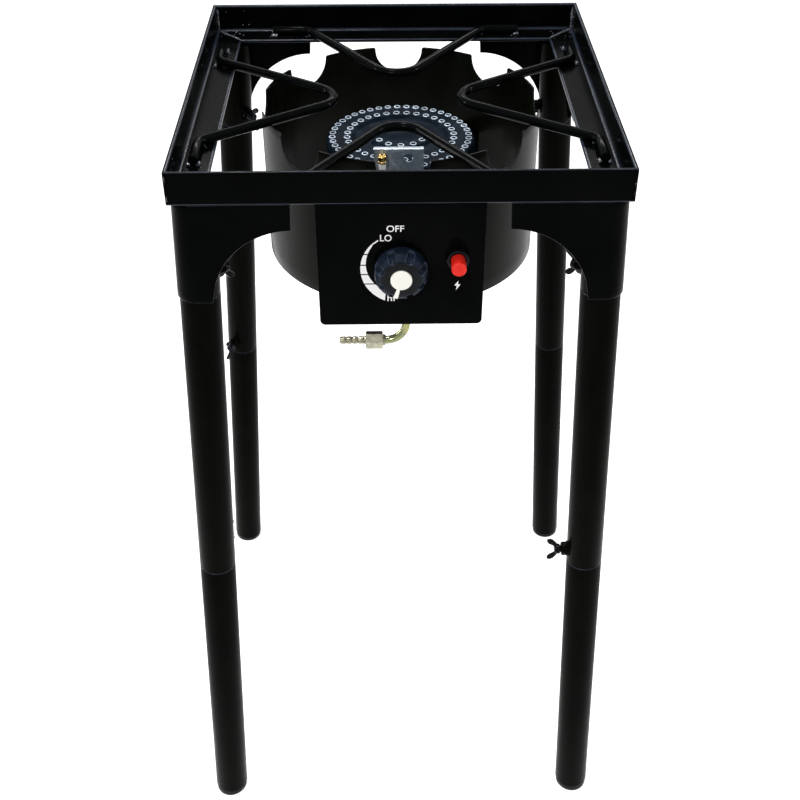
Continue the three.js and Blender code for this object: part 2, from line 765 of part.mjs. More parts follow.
function addMiddleLeg(name, sx, sy) {
  const length = legLength(sx, sy, SOCKET_FOOT, MIDDLE_FOOT);
  const geometry = withWeldNut(neckedTube(length - SEAT), length - SCREW_ABOVE_SEAM);
  const turn = legTurn(sx, sy, SCREW_BEARINGS[name][1]);
  place(`${name}_middle_leg`, geometry, powderCoat, legPoint(sx, sy, SOCKET_FOOT), turn);
}

function addLowerLeg(name, sx, sy) {
  const tube = neckedTube(legLength(sx, sy, MIDDLE_FOOT, LOWER_END));
  const turn = legTurn(sx, sy, SCREW_BEARINGS[name][1]);
  place(`${name}_lower_leg`, tube, powderCoat, legPoint(sx, sy, MIDDLE_FOOT), turn);
}

// A plastic plug in the tube's end, its foot cut level with the floor.
function addFootPlug(name, sx, sy) {
  const head = LEG_RADIUS - PLUG_RIM;
  const plug = turned(
    [
      [0, -PLUG_DEPTH],
      [NECK_RADIUS, -PLUG_DEPTH],
      [NECK_RADIUS, SEAT],
      [head, SEAT],
      [head, 2 * LOWER_END],
      [0, 2 * LOWER_END],
    ],
    LEG_SIDES,
  );
  plug.applyQuaternion(legTurn(sx, sy, SCREW_BEARINGS[name][1]));
  const end = legPoint(sx, sy, LOWER_END);
  plug.translate(end.x, end.y, end.z);
  const size = 4 * LEG_RADIUS;
  const floor = box(vec(end.x - size, end.y - size, -size), vec(end.x + size, end.y + size, 0));
  place(`${name}_foot_plug`, cut(plug, floor), blackPlastic);
}

// The screw is built along +Z out of the leg, with the neck that it clamps at z = NECK_RADIUS.
function wingScrewGeometry() {
  const tip = NECK_RADIUS + SCREW_GRIP;
  const hubBase = LEG_RADIUS + WELD_NUT_HEIGHT + SCREW_NECK_GAP;
  const hubTop = hubBase + SCREW_HUB_LENGTH;
  const shank = turned(
    [
      [0, tip],
      [SCREW_RADIUS, tip],
      [SCREW_RADIUS, hubBase],
      [SCREW_HUB_RADIUS, hubBase],
      [SCREW_HUB_RADIUS - 1, hubTop],
      [0, hubTop],
    ],
    12,
  );
  const half = WING_SPAN / 2;
  const wings = new THREE.Shape();
  wings.moveTo(-SCREW_HUB_RADIUS + 2, hubBase + 1);
  wings.lineTo(SCREW_HUB_RADIUS - 2, hubBase + 1);
  wings.lineTo(half, hubTop + WING_RISE - 4);
  wings.lineTo(half - 1, hubTop + WING_RISE);
  wings.lineTo(half - 5, hubTop + WING_RISE - 1);
  wings.lineTo(0, hubTop - 1);
  wings.lineTo(-half + 5, hubTop + WING_RISE - 1);
  wings.lineTo(-half + 1, hubTop + WING_RISE);
  wings.lineTo(-half, hubTop + WING_RISE - 4);
  wings.closePath();
  const blade = prism(wings, -WING_THICKNESS / 2, WING_THICKNESS / 2);
  blade.rotateX(Math.PI / 2);
  return join(shank, blade);
}

function addWingScrew(name, sx, sy, seam, degrees) {
  const geometry = aim(wingScrewGeometry(), vec(1, 0, 0));
  const back = legDirection(sx, sy).multiplyScalar(-SCREW_ABOVE_SEAM);
  place(name, geometry, powderCoat, legPoint(sx, sy, seam).add(back), legTurn(sx, sy, degrees));
}

// Sheet bracket round a socket: two arms under the rails and a round corner, cut away below.
// It is built upright in the +X +Y corner and then leant outwards with its leg.
function addBracket(name, sx, sy) {
  const top = FRAME_UNDERSIDE - SEAT;
  const foot = SOCKET_FOOT + SEAT;
  const outside = BRACKET_OUTSIDE;
  const inside = outside - BRACKET_WALL;
  const inner = LEG_RADIUS + SEAT;
  const plan = new THREE.Shape();
  plan.moveTo(BRACKET_REACH, outside);
  plan.lineTo(BRACKET_REACH, inside);
  plan.lineTo(LEG_OFFSET, inside);
  plan.absarc(LEG_OFFSET, LEG_OFFSET, inner, Math.PI / 2, 0, true);
  plan.lineTo(inside, BRACKET_REACH);
  plan.lineTo(outside, BRACKET_REACH);
  plan.lineTo(outside, LEG_OFFSET);
  plan.absarc(LEG_OFFSET, LEG_OFFSET, inner + BRACKET_WALL, 0, Math.PI / 2, false);
  plan.closePath();
  const sheet = prism(plan, foot, top, 8);

  const endFoot = top - BRACKET_END_HEIGHT;
  const far = BRACKET_REACH + BRACKET_SWEEP;
  const away = new THREE.Shape();
  away.moveTo(BRACKET_REACH - 5, foot - 5);
  away.lineTo(far, foot - 5);
  away.lineTo(far, foot);
  away.absellipse(BRACKET_REACH, foot, BRACKET_SWEEP, endFoot - foot, 0, Math.PI / 2, false, 0);
  away.lineTo(BRACKET_REACH - 5, endFoot);
  away.closePath();
  const frontCut = prism(away, -outside - 5, -inside + 5, 10);
  frontCut.rotateX(Math.PI / 2);
  const sideCut = frontCut.clone();
  sideCut.rotateZ(-Math.PI / 2);
  sideCut.scale(1, -1, 1);
  const bracket = cut(sheet, frontCut, flipped(sideCut));
  bracket.translate(0, 0, -top);
  const lean = legSplay(sx, sy);
  bracket.applyMatrix4(
    new THREE.Matrix4().makeShear(0, 0, 0, 0, -Math.abs(lean.x), -Math.abs(lean.y)),
  );
  bracket.translate(0, 0, top);
  const handed = sx * sy > 0 ? bracket : flipped(bracket);
  handed.scale(sx, sy, 1);
  place(`${name}_corner_bracket`, handed, powderCoat);
}

// The same surface with its triangles wound the other way, for use after a mirroring.
function flipped(geometry) {
  const result = geometry.index ? geometry.clone() : mergeVertices(geometry.clone());
  const index = result.index;
  for (let i = 0; i < index.count; i += 3) {
    const second = index.getX(i + 1);
    index.setX(i + 1, index.getX(i + 2));
    index.setX(i + 2, second);
  }
  return result;
}

function addLegs() {
  for (const [name, sx, sy] of CORNERS) {
    const [upper, lower] = SCREW_BEARINGS[name];
    addBracket(name, sx, sy);
    addSocket(name, sx, sy);
    addMiddleLeg(name, sx, sy);
    addLowerLeg(name, sx, sy);
    addFootPlug(name, sx, sy);
    addWingScrew(`${name}_upper_wing_screw`, sx, sy, SOCKET_FOOT, upper);
    addWingScrew(`${name}_lower_wing_screw`, sx, sy, MIDDLE_FOOT, lower);
  }
}

// ---------------------------------------------------------------- control panel

function addPanel() {
  const half = PANEL_WIDTH / 2;
  const top = FRAME_UNDERSIDE - SEAT;
  const foot = top - PANEL_HEIGHT;
  const face = new THREE.Shape();
  face.moveTo(-half, top);
  face.lineTo(-half, foot + PANEL_CORNER);
  face.absarc(-half + PANEL_CORNER, foot + PANEL_CORNER, PANEL_CORNER, Math.PI, 1.5 * Math.PI, false);
  face.lineTo(half - PANEL_CORNER, foot);
  face.absarc(half - PANEL_CORNER, foot + PANEL_CORNER, PANEL_CORNER, 1.5 * Math.PI, 2 * Math.PI, false);
  face.lineTo(half, top);
  face.closePath();
  const sheet = prism(face, -PANEL_BACK_Y, -PANEL_FACE_Y, 6);
  sheet.rotateX(Math.PI / 2);
  const lip = box(
    vec(-half, PANEL_FACE_Y + PANEL_WALL / 2, top - PANEL_WALL),
    vec(half, PANEL_FACE_Y + PANEL_LIP, top),
  );
  const bushHole = turned(discProfile(BUSH_RADIUS + PANEL_HOLE_CLEARANCE, -5, 5), 20);
  const bodyHole = turned(discProfile(IGNITER_BODY_RADIUS + PANEL_HOLE_CLEARANCE, -5, 5), 20);
  const panel = cut(
    join(sheet, lip),
    forward(bushHole, 0, PANEL_FACE_Y, AXIS_Z),
    forward(bodyHole, IGNITER_X, PANEL_FACE_Y, IGNITER_Z),
  );
  place('control_panel', panel, powderCoat);
}

// Heights along the knob's axis count out from the panel's face, towards the front.
function onPanel(geometry, x, z) {
  return forward(geometry, x, PANEL_FACE_Y, z);
}

function addValve() {
  const back = -PANEL_WALL - SEAT;
  const body = turned(discProfile(VALVE_RADIUS, back - VALVE_LENGTH, back), 24);
  const bush = turned(discProfile(BUSH_RADIUS, back - 1, BUSH_PROUD), 20);
  const inletY = PANEL_FACE_Y + INLET_BACK;
  const bossFoot = AXIS_Z - INLET_BOSS_DROP;
  const boss = turned(discProfile(INLET_BOSS_RADIUS, bossFoot, AXIS_Z), 16);
  boss.translate(INLET_X, inletY, 0);
  const stemBore = discProfile(STEM_RADIUS + STEM_CLEARANCE, back - VALVE_BORE_DEPTH, BUSH_PROUD + 1);
  const thread = NOZZLE_THREAD_RADIUS + FLARE_FIT;
  const far = back - VALVE_LENGTH;
  const nozzleBore = discProfile(thread, far - 1, far + NOZZLE_THREAD_DEPTH + SEAT);
  const pipeBore = turned(
    discProfile(PIPE_RADIUS + FLARE_FIT, bossFoot - 1, bossFoot + INLET_SOCKET_DEPTH + SEAT),
    16,
  );
  pipeBore.translate(INLET_X, inletY, 0);
  const casting = cut(
    join(onPanel(body, 0, AXIS_Z), onPanel(bush, 0, AXIS_Z), boss),
    onPanel(turned(stemBore, 20), 0, AXIS_Z),
    onPanel(turned(nozzleBore, 12), 0, AXIS_Z),
    pipeBore,
  );
  place('valve_body', casting, brass);
}

function addStem() {
  const back = -PANEL_WALL - SEAT - VALVE_BORE_DEPTH + SEAT;
  const stem = turned(discProfile(STEM_RADIUS, back, STEM_PROUD), 20);
  place('valve_stem', onPanel(stem, 0, AXIS_Z), brass);
}

// The gas nozzle screws into the valve and points into the mixing tube's mouth.
function addNozzle() {
  const far = -PANEL_WALL - SEAT - VALVE_LENGTH;
  const hexTop = far - SEAT;
  const tip = -(MIXING_MOUTH_Y - PANEL_FACE_Y) - 2;
  const thread = turned(discProfile(NOZZLE_THREAD_RADIUS, hexTop - 1, far + NOZZLE_THREAD_DEPTH), 12);
  const hex = prism(hexagon(NOZZLE_HEX_ACROSS), hexTop - NOZZLE_HEX_LENGTH, hexTop);
  const snout = turned(
    [
      [0, tip],
      [NOZZLE_RADIUS - 2, tip],
      [NOZZLE_RADIUS, tip + 4],
      [NOZZLE_RADIUS, hexTop - 1],
      [0, hexTop - 1],
    ],
    12,
  );
  place('gas_nozzle', onPanel(join(thread, hex, snout), 0, AXIS_Z), brass);
}

function addKnob() {
  const face = KNOB_GAP + KNOB_HEIGHT;
  const ceiling = KNOB_GAP + KNOB_RECESS_DEPTH;
  const bore = STEM_RADIUS + FLARE_FIT;
  const boreEnd = STEM_PROUD + SEAT;
  const seat = CAP_DISC_RADIUS + SEAT;
  const body = turned(
    [
      [0, boreEnd],
      [bore, boreEnd],
      [bore, ceiling],
      [KNOB_RECESS_RADIUS, ceiling],
      [KNOB_RECESS_RADIUS, KNOB_GAP],
      [KNOB_BASE_RADIUS, KNOB_GAP],
      [KNOB_BASE_RADIUS, KNOB_GAP + 3],
      [KNOB_FACE_RADIUS + 1.5, face - 4],
      [KNOB_FACE_RADIUS - 2, face - 0.8],
      [seat + 2, face],
      [seat, face],
      [seat, face - CAP_RECESS],
      [0, face - CAP_RECESS],
    ],
    32,
  );
  const flutes = [];
  for (let i = 0; i < KNOB_FLUTES; i += 1) {
    const angle = ((i + 0.5) * 2 * Math.PI) / KNOB_FLUTES;
    const flute = turned(discProfile(FLUTE_RADIUS, KNOB_GAP + 4, face + 4), 8);
    const out = KNOB_BASE_RADIUS + 0.5;
    flute.translate(out * Math.cos(angle), out * Math.sin(angle), 0);
    flutes.push(flute);
  }
  place('knob', onPanel(cut(body, ...flutes), 0, AXIS_Z), knobPlastic);

  const low = face - CAP_RECESS + SEAT;
  const disc = turned(
    [
      [0, low],
      [CAP_DISC_RADIUS, low],
      [CAP_DISC_RADIUS, low + CAP_DISC_HEIGHT - 1],
      [CAP_DISC_RADIUS - 1, low + CAP_DISC_HEIGHT],
      [0, low + CAP_DISC_HEIGHT],
    ],
    32,
  );
  place('knob_cap', onPanel(disc, 0, AXIS_Z), whitePlastic);
}

function addIgniter() {
  const bore = BUTTON_RADIUS + BUTTON_CLEARANCE;
  const boreFoot = BUTTON_PROUD - BUTTON_LENGTH - BUTTON_TRAVEL - 1;
  const bezelTop = SEAT + BEZEL_HEIGHT;
  const housing = turned(
    [
      [0, -IGNITER_BODY_LENGTH - TERMINAL_LENGTH],
      [TERMINAL_RADIUS, -IGNITER_BODY_LENGTH - TERMINAL_LENGTH],
      [TERMINAL_RADIUS, -IGNITER_BODY_LENGTH],
      [IGNITER_BODY_RADIUS, -IGNITER_BODY_LENGTH],
      [IGNITER_BODY_RADIUS, SEAT],
      [BEZEL_RADIUS, SEAT],
      [BEZEL_RADIUS, bezelTop - 1],
      [BEZEL_RADIUS - 1, bezelTop],
      [bore, bezelTop],
      [bore, boreFoot],
      [0, boreFoot],
    ],
    28,
  );
  place('igniter_housing', onPanel(housing, IGNITER_X, IGNITER_Z), blackPlastic);

  const button = turned(
    [
      [0, BUTTON_PROUD - BUTTON_LENGTH],
      [BUTTON_RADIUS, BUTTON_PROUD - BUTTON_LENGTH],
      [BUTTON_RADIUS, BUTTON_PROUD - 0.8],
      [BUTTON_RADIUS - 0.8, BUTTON_PROUD],
      [0, BUTTON_PROUD],
    ],
    28,
  );
  place('igniter_button', onPanel(button, IGNITER_X, IGNITER_Z), redPlastic);
}

// ---------------------------------------------------------------- igniter electrode

// A zinc plate astride the mixing tube; its shelf holds the ceramic electrode.
function addIgniterBracket() {
  const half = PLATE_WIDTH / 2;
  const top = PORT_FACE_Z + PLATE_TOP_RISE;
  const foot = PORT_FACE_Z - PLATE_FOOT_DROP;
  const plate = box(vec(-half, PLATE_Y, foot), vec(half, PLATE_Y + PLATE_WALL, top));
  const lip = box(vec(-half, PLATE_Y, top - PLATE_WALL), vec(half, PLATE_Y + PLATE_LIP, top));
  const shelf = box(
    vec(-half, PLATE_Y - PLATE_SHELF, SHELF_TOP_Z - PLATE_WALL),
    vec(ELECTRODE_X + PLATE_SHELF_REACH, PLATE_Y + PLATE_WALL / 2, SHELF_TOP_Z),
  );
  const saddle = forward(turned(discProfile(MIXING_RADIUS + SEAT, -40, 40), 24), 0, PLATE_Y, AXIS_Z);
  const sight = forward(
    turned(discProfile(PLATE_HOLE_RADIUS, -10, 10), 16),
    PLATE_HOLE_X,
    PLATE_Y,
    PORT_FACE_Z + PLATE_HOLE_RISE,
  );
  const seatHole = turned(discProfile(CERAMIC_RADIUS + SEAT, SHELF_TOP_Z - 10, SHELF_TOP_Z + 10), 16);
  seatHole.translate(ELECTRODE_X, electrodeY(), 0);
  const bracket = cut(join(plate, lip, shelf), saddle, sight, seatHole);
  place('igniter_bracket', bracket, zinc);
}

function electrodeY() {
  return PLATE_Y - PLATE_SHELF / 2;
}

function addElectrode() {
  const top = CERAMIC_TOP_Z;
  const foot = CERAMIC_FOOT_Z;
  const collar = CERAMIC_RADIUS + CERAMIC_COLLAR;
  const insulator = turned(
    [
      [PIN_RADIUS + 0.2, foot],
      [CERAMIC_RADIUS, foot],
      [CERAMIC_RADIUS, SHELF_TOP_Z + SEAT],
      [collar, SHELF_TOP_Z + SEAT],
      [collar, SHELF_TOP_Z + 4],
      [CERAMIC_RADIUS, SHELF_TOP_Z + 5],
      [CERAMIC_RADIUS, top],
      [PIN_RADIUS + 0.2, top],
      [PIN_RADIUS + 0.2, foot],
    ],
    16,
  );
  place('electrode_insulator', insulator, ceramic, vec(ELECTRODE_X, electrodeY(), 0));

  const ferrule = turned(
    [
      [PIN_RADIUS + 0.2, top + SEAT],
      [FERRULE_RADIUS, top + SEAT],
      [FERRULE_RADIUS, top + SEAT + FERRULE_HEIGHT - 2],
      [FERRULE_RADIUS - 1.4, top + SEAT + FERRULE_HEIGHT],
      [PIN_RADIUS + 0.2, top + SEAT + FERRULE_HEIGHT],
      [PIN_RADIUS + 0.2, top + SEAT],
    ],
    16,
  );
  place('electrode_ferrule', ferrule, brass, vec(ELECTRODE_X, electrodeY(), 0));
}

// The spark pin runs up through the insulator and bends over towards the ports.
function addElectrodePin() {
  const x = ELECTRODE_X;
  const y = electrodeY();
  const crest = CERAMIC_TOP_Z + FERRULE_HEIGHT + 2.2;
  const corners = [
    vec(x, y, CERAMIC_FOOT_Z + 1),
    vec(x, y, crest),
    vec(x, y + 4.6, crest),
  ];
  place('electrode_pin', rod(bentPath(corners, [2], 4), PIN_RADIUS, 8), steel);
}

// High-voltage lead from the electrode, round and under the mixing tube, through the
// windscreen's port and up to the igniter.
function addIgniterLead() {
  const x = ELECTRODE_X;
  const y = electrodeY();
  const start = CERAMIC_FOOT_Z - SEAT;
  const aside = x - 7;
  const under = -8;
  const low = AXIS_Z - MIXING_RADIUS - 8;
  const endY = PANEL_FACE_Y + IGNITER_BODY_LENGTH + TERMINAL_LENGTH + SEAT;
  const corners = [
    vec(x, y, start),
    vec(x, y, start - 3),
    vec(aside, y, start - 12),
    vec(aside, y, low + 11),
    vec(under, y, low),
    vec(under, LEAD_CROSSING_Y, low),
    vec(IGNITER_X, LEAD_CROSSING_Y, low),
    vec(IGNITER_X, LEAD_CROSSING_Y, IGNITER_Z),
    vec(IGNITER_X, endY, IGNITER_Z),
  ];
  const path = bentPath(corners, [3, 3, 4, 4, 6, 6, 6], 3);
  place('igniter_lead', rod(path, LEAD_RADIUS, 8), leadSleeve);
}

// ---------------------------------------------------------------- gas inlet

function addInlet() {
  const y = PANEL_FACE_Y + INLET_BACK;
  const top = AXIS_Z - INLET_BOSS_DROP + INLET_SOCKET_DEPTH;
  const level = AXIS_Z - PIPE_DROP;
  const pipeEnd = FLARE_NUT_X - PIPE_ENTRY;
  const corners = [vec(INLET_X, y, top), vec(INLET_X, y, level), vec(pipeEnd, y, level)];
  const path = bentPath(corners, [PIPE_BEND_RADIUS], 6);
  place('inlet_pipe', rod(path, PIPE_RADIUS, 14, PIPE_BORE), yellowZinc);

  const west = vec(-1, 0, 0);
  const nut = roundHole(hexagon(FLARE_NUT_ACROSS), PIPE_RADIUS + FLARE_FIT);
  const nutGeometry = aim(prism(nut, 0, FLARE_NUT_LENGTH, 12), west);
  place('flare_nut', nutGeometry, steel, vec(FLARE_NUT_X, y, level));

  const nutEnd = FLARE_NUT_LENGTH;
  const shankRadius = PIPE_RADIUS;
  const profile = [
    [BARB_BORE, nutEnd - BARB_ENTRY],
    [shankRadius, nutEnd - BARB_ENTRY],
    [shankRadius, nutEnd + 1.5],
    [BARB_RADIUS, nutEnd + 1.5],
  ];
  const pitch = (BARB_LENGTH - 5) / BARB_RIDGES;
  for (let i = 0; i < BARB_RIDGES; i += 1) {
    const start = nutEnd + 4 + i * pitch;
    profile.push([BARB_RADIUS, start]);
    profile.push([BARB_RADIUS + BARB_RIDGE, start + 0.3]);
    profile.push([BARB_RADIUS, start + pitch - 0.6]);
  }
  profile.push([BARB_RADIUS - 0.6, nutEnd + BARB_LENGTH]);
  profile.push([BARB_BORE, nutEnd + BARB_LENGTH]);
  profile.push([BARB_BORE, nutEnd - BARB_ENTRY]);
  place('hose_barb', aim(turned(profile, 12), west), steel, vec(FLARE_NUT_X, y, level));
}

// ---------------------------------------------------------------- the whole stand

addRails();
addPotSupports();
addWindscreen();
addBurnerCap();
addBurnerBody();
addCrossbar();
addBurnerBolt();
addTabScrew('front_tab_screw', 0);
addTabScrew('back_tab_screw', Math.PI);
addAirShutter();
addLegs();
addPanel();
addValve();
addStem();
addNozzle();
addKnob();
addIgniter();
addIgniterBracket();
addElectrode();
addElectrodePin();
addIgniterLead();
addInlet();

export default group;
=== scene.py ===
"""Looks of the gas burner stand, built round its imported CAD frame."""
import random
from math import asin, atan, atan2, cos, degrees, dist, exp, hypot, pi, radians, sin, sqrt

import bmesh
import bpy
from mathutils import Matrix, Vector, noise


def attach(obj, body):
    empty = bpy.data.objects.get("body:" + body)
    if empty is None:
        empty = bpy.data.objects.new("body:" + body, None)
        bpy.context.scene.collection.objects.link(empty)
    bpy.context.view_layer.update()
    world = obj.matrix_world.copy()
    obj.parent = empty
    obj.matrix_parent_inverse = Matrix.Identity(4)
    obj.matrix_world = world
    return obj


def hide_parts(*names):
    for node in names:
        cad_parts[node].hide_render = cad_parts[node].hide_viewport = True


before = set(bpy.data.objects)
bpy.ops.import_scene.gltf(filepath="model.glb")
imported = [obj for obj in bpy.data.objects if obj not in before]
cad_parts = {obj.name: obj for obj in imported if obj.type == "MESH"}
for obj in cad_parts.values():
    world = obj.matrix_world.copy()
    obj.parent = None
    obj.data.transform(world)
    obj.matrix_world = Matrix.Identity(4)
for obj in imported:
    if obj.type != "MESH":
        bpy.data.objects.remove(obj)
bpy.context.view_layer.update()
scene = bpy.context.scene
scene.view_settings.view_transform = "Standard"

# ---- dimensions, in metres
MM = 0.001
HEIGHT = 0.8382
HALF = 0.2032
SEAT = 0.3 * MM
ANGLE = 31.75 * MM
ANGLE_WALL = 3.2 * MM
UNDERSIDE = HEIGHT - ANGLE
FLANGE_TOP = UNDERSIDE + ANGLE_WALL

ROD_RADIUS = 4.75 * MM
ROD_Z = FLANGE_TOP + SEAT + ROD_RADIUS
ROD_REACH = 64 * MM
ROD_APEX_RADIUS = 25.6 * MM
ROD_SLOPE = 0.67
ROD_BEND = 15 * MM
ROD_END = 137 * MM
ROD_RUN = HALF - 15.7 * MM
SIDE_SHIFT = 3 * MM

BURNER = Vector((3 * MM, 10 * MM, 0))
SCREEN_RADIUS = 140 * MM
SCREEN_WALL = 1.5 * MM
SCREEN_TOP = FLANGE_TOP
SCREEN_BOTTOM = SCREEN_TOP - 157 * MM
SCALLOP = 25.5 * MM
SCALLOP_DROP = 2 * MM
SCALLOP_CORNER = 2.5 * MM
PORT_RADIUS = 30 * MM

AXIS_Z = HEIGHT - 97 * MM
PORT_FACE = HEIGHT - 68 * MM
CAP_FOOT = PORT_FACE - 12 * MM
CAP_RADIUS = 76.5 * MM
BOWL_RADIUS = 72 * MM
BOWL_TOP = CAP_FOOT - SEAT
BOWL_FLOOR = BOWL_TOP - 34 * MM
TUBE_RADIUS = 16 * MM
TUBE_MOUTH = -0.150

LEG_RADIUS = 19 * MM
LEG_WALL = 1.5 * MM
NECK_RADIUS = LEG_RADIUS - LEG_WALL - 0.4 * MM
BRACKET_FACE = HALF - 0.7 * MM
BRACKET_WALL = 1.5 * MM
LEG_OFFSET = BRACKET_FACE - BRACKET_WALL - SEAT - LEG_RADIUS
FRONT_SPLAY, BACK_SPLAY, DEPTH_SPLAY = 0.040, 0.062, 0.055
SOCKET_FOOT = 0.709
MIDDLE_FOOT = 0.3735
LOWER_END = 7 * MM
NECK = 40 * MM
SCREW_ABOVE_SEAM = 15 * MM
CORNERS = {"front_left": (-1, -1), "front_right": (1, -1), "back_left": (-1, 1), "back_right": (1, 1)}
SCREW_BEARINGS = {  # degrees, for the upper and the lower wing screw
    "front_left": (45, 70), "front_right": (135, 180), "back_left": (-45, -115), "back_right": (180, 108),
}

KNOB_SIDE = 24.25 * MM
FLUTE_START, FLUTE_END = 10.5 * MM, 22.5 * MM
FLUTE_HALF, FLUTE_DEPTH, FLUTE_LIP = 3.4 * MM, 2.4 * MM, 0.40 * MM
SHOULDER = 13 * MM
POINTER_TURN = radians(255)
IGNITER_X = 51 * MM
IGNITER_Z = AXIS_Z + 10.5 * MM
PLATE_Y = -73.5 * MM
ELECTRODE = Vector((-16 * MM, PLATE_Y - 5 * MM, 0))
INLET_Y = -HALF + 18 * MM
PIPE_Z = HEIGHT - 187 * MM
NUT_X = -17 * MM

PRINT_LIFT = 0.06 * MM
WORD_WEIGHT = 0.010
SCALE_RADIUS = 36.6
SCALE_BREAKS = (15.3, 4.2, -5.6, -15.6)
BREAK_HALF = 0.55

RAIL_FILLETS = (1.6 * MM, 0.5 * MM, 2.0 * MM, 2.6 * MM, 2.0 * MM, 0.5 * MM)
SHEET_EDGE = 0.35 * MM
SHARP_EDGE = radians(40)
NOISE_ROUGHNESS = 0.55
POINTED = (0.52, 0.60)
PATCH_DETAIL, CLOUD_DETAIL, GRAIN_DETAIL = 6, 5, 3
CLOUD_SCALE = 2.3
FLOOR_GLOW = 0.56
WORLD_LIGHT = 0.48


# ---- camera
def put(name, data):
    obj = bpy.data.objects.new(name, data)
    scene.collection.objects.link(obj)
    return obj


def add_camera():
    yaw, pitch, roll = -0.01483, 0.66001, 0.00114
    forward = Vector((-sin(yaw) * cos(pitch), cos(yaw) * cos(pitch), -sin(pitch)))
    level = Vector((cos(yaw), sin(yaw), 0))
    right = level * cos(roll) + forward.cross(level) * sin(roll)
    up = right.cross(forward)
    turn = Matrix((right, up, -forward)).transposed()
    data = bpy.data.cameras.new("camera")
    data.sensor_width = 36
    data.lens = 53.5055
    data.clip_end = 50
    camera = put("camera", data)
    camera.matrix_world = Matrix.Translation((-0.014638, -1.120255, 1.303781)) @ turn.to_4x4()
    scene.camera = camera


# ---- materials
def new_nodes(name):
    material = bpy.data.materials.new(name)
    material.use_nodes = True
    tree = material.node_tree
    return material, tree, tree.nodes["Principled BSDF"]


def noise_node(tree, scale, detail=4.0, stretch=(1, 1, 1)):
    place = tree.nodes.new("ShaderNodeTexCoord")
    mapping = tree.nodes.new("ShaderNodeMapping")
    mapping.inputs["Scale"].default_value = stretch
    node = tree.nodes.new("ShaderNodeTexNoise")
    node.inputs["Scale"].default_value = scale
    node.inputs["Detail"].default_value = detail
    node.inputs["Roughness"].default_value = NOISE_ROUGHNESS
    tree.links.new(place.outputs["Object"], mapping.inputs["Vector"])
    tree.links.new(mapping.outputs["Vector"], node.inputs["Vector"])
    return node.outputs["Fac"]


def ramp(tree, source, stops):
    node = tree.nodes.new("ShaderNodeValToRGB")
    while len(node.color_ramp.elements) < len(stops):
        node.color_ramp.elements.new(0.5)
    for element, (at, colour) in zip(node.color_ramp.elements, stops):
        element.position = at
        element.color = (*colour, 1)
    tree.links.new(source, node.inputs["Fac"])
    return node.outputs["Color"]


def spread(tree, source, low, high, start=0.3, end=0.7):
    node = tree.nodes.new("ShaderNodeMapRange")
    node.inputs["From Min"].default_value = start
    node.inputs["From Max"].default_value = end
    node.inputs["To Min"].default_value = low
    node.inputs["To Max"].default_value = high
    tree.links.new(source, node.inputs["Value"])
    return node.outputs["Result"]


def bump(tree, source, strength, height, under=None):
    node = tree.nodes.new("ShaderNodeBump")
    node.inputs["Strength"].default_value = strength
    node.inputs["Distance"].default_value = height
    tree.links.new(source, node.inputs["Height"])
    if under is not None:
        tree.links.new(under, node.inputs["Normal"])
    return node.outputs["Normal"]


def math_node(tree, operation, first, second):
    """A math node on one output and on another output or a number."""
    node = tree.nodes.new("ShaderNodeMath")
    node.operation = operation
    tree.links.new(first, node.inputs[0])
    if isinstance(second, float):
        node.inputs[1].default_value = second
    else:
        tree.links.new(second, node.inputs[1])
    return node.outputs["Value"]


def painted_edge_highlight(tree, colour, edge_colour, amount):
    """Mixes a lighter edge colour in where the surface turns outwards sharply: a painted highlight along
    edges.
    """
    geometry = tree.nodes.new("ShaderNodeNewGeometry")
    edge = spread(tree, geometry.outputs["Pointiness"], 0.0, amount, *POINTED)
    broken = math_node(tree, "MULTIPLY", edge, spread(tree, noise_node(tree, 260), 0.1, 1.0))
    mix = tree.nodes.new("ShaderNodeMix")
    mix.data_type = "RGBA"
    tree.links.new(broken, mix.inputs["Factor"])
    tree.links.new(colour, mix.inputs["A"])
    mix.inputs["B"].default_value = (*edge_colour, 1)
    return mix.outputs["Result"]


def finish(name, stops, roughness, grain, mottle, metallic=0.0, specular=0.5, edge=None, coat=0.0):
    """A surface with mottled colour and roughness, and one or more layers of grain."""
    material, tree, shader = new_nodes(name)
    colour = ramp(tree, noise_node(tree, mottle, PATCH_DETAIL), stops)
    # edge gives a lighter colour and its amount for sharp edges: a painted highlight
    if edge:
        colour = painted_edge_highlight(tree, colour, *edge)
    tree.links.new(colour, shader.inputs["Base Color"])
    clouds = noise_node(tree, mottle * CLOUD_SCALE, CLOUD_DETAIL)
    tree.links.new(spread(tree, clouds, *roughness), shader.inputs["Roughness"])
    normal = None
    for scale, strength, height, *stretch in grain:
        normal = bump(tree, noise_node(tree, scale, GRAIN_DETAIL, *stretch), strength, height, normal)
    tree.links.new(normal, shader.inputs["Normal"])
    shader.inputs["Metallic"].default_value = metallic
    shader.inputs["Specular IOR Level"].default_value = specular
    shader.inputs["Coat Weight"].default_value = coat
    return material
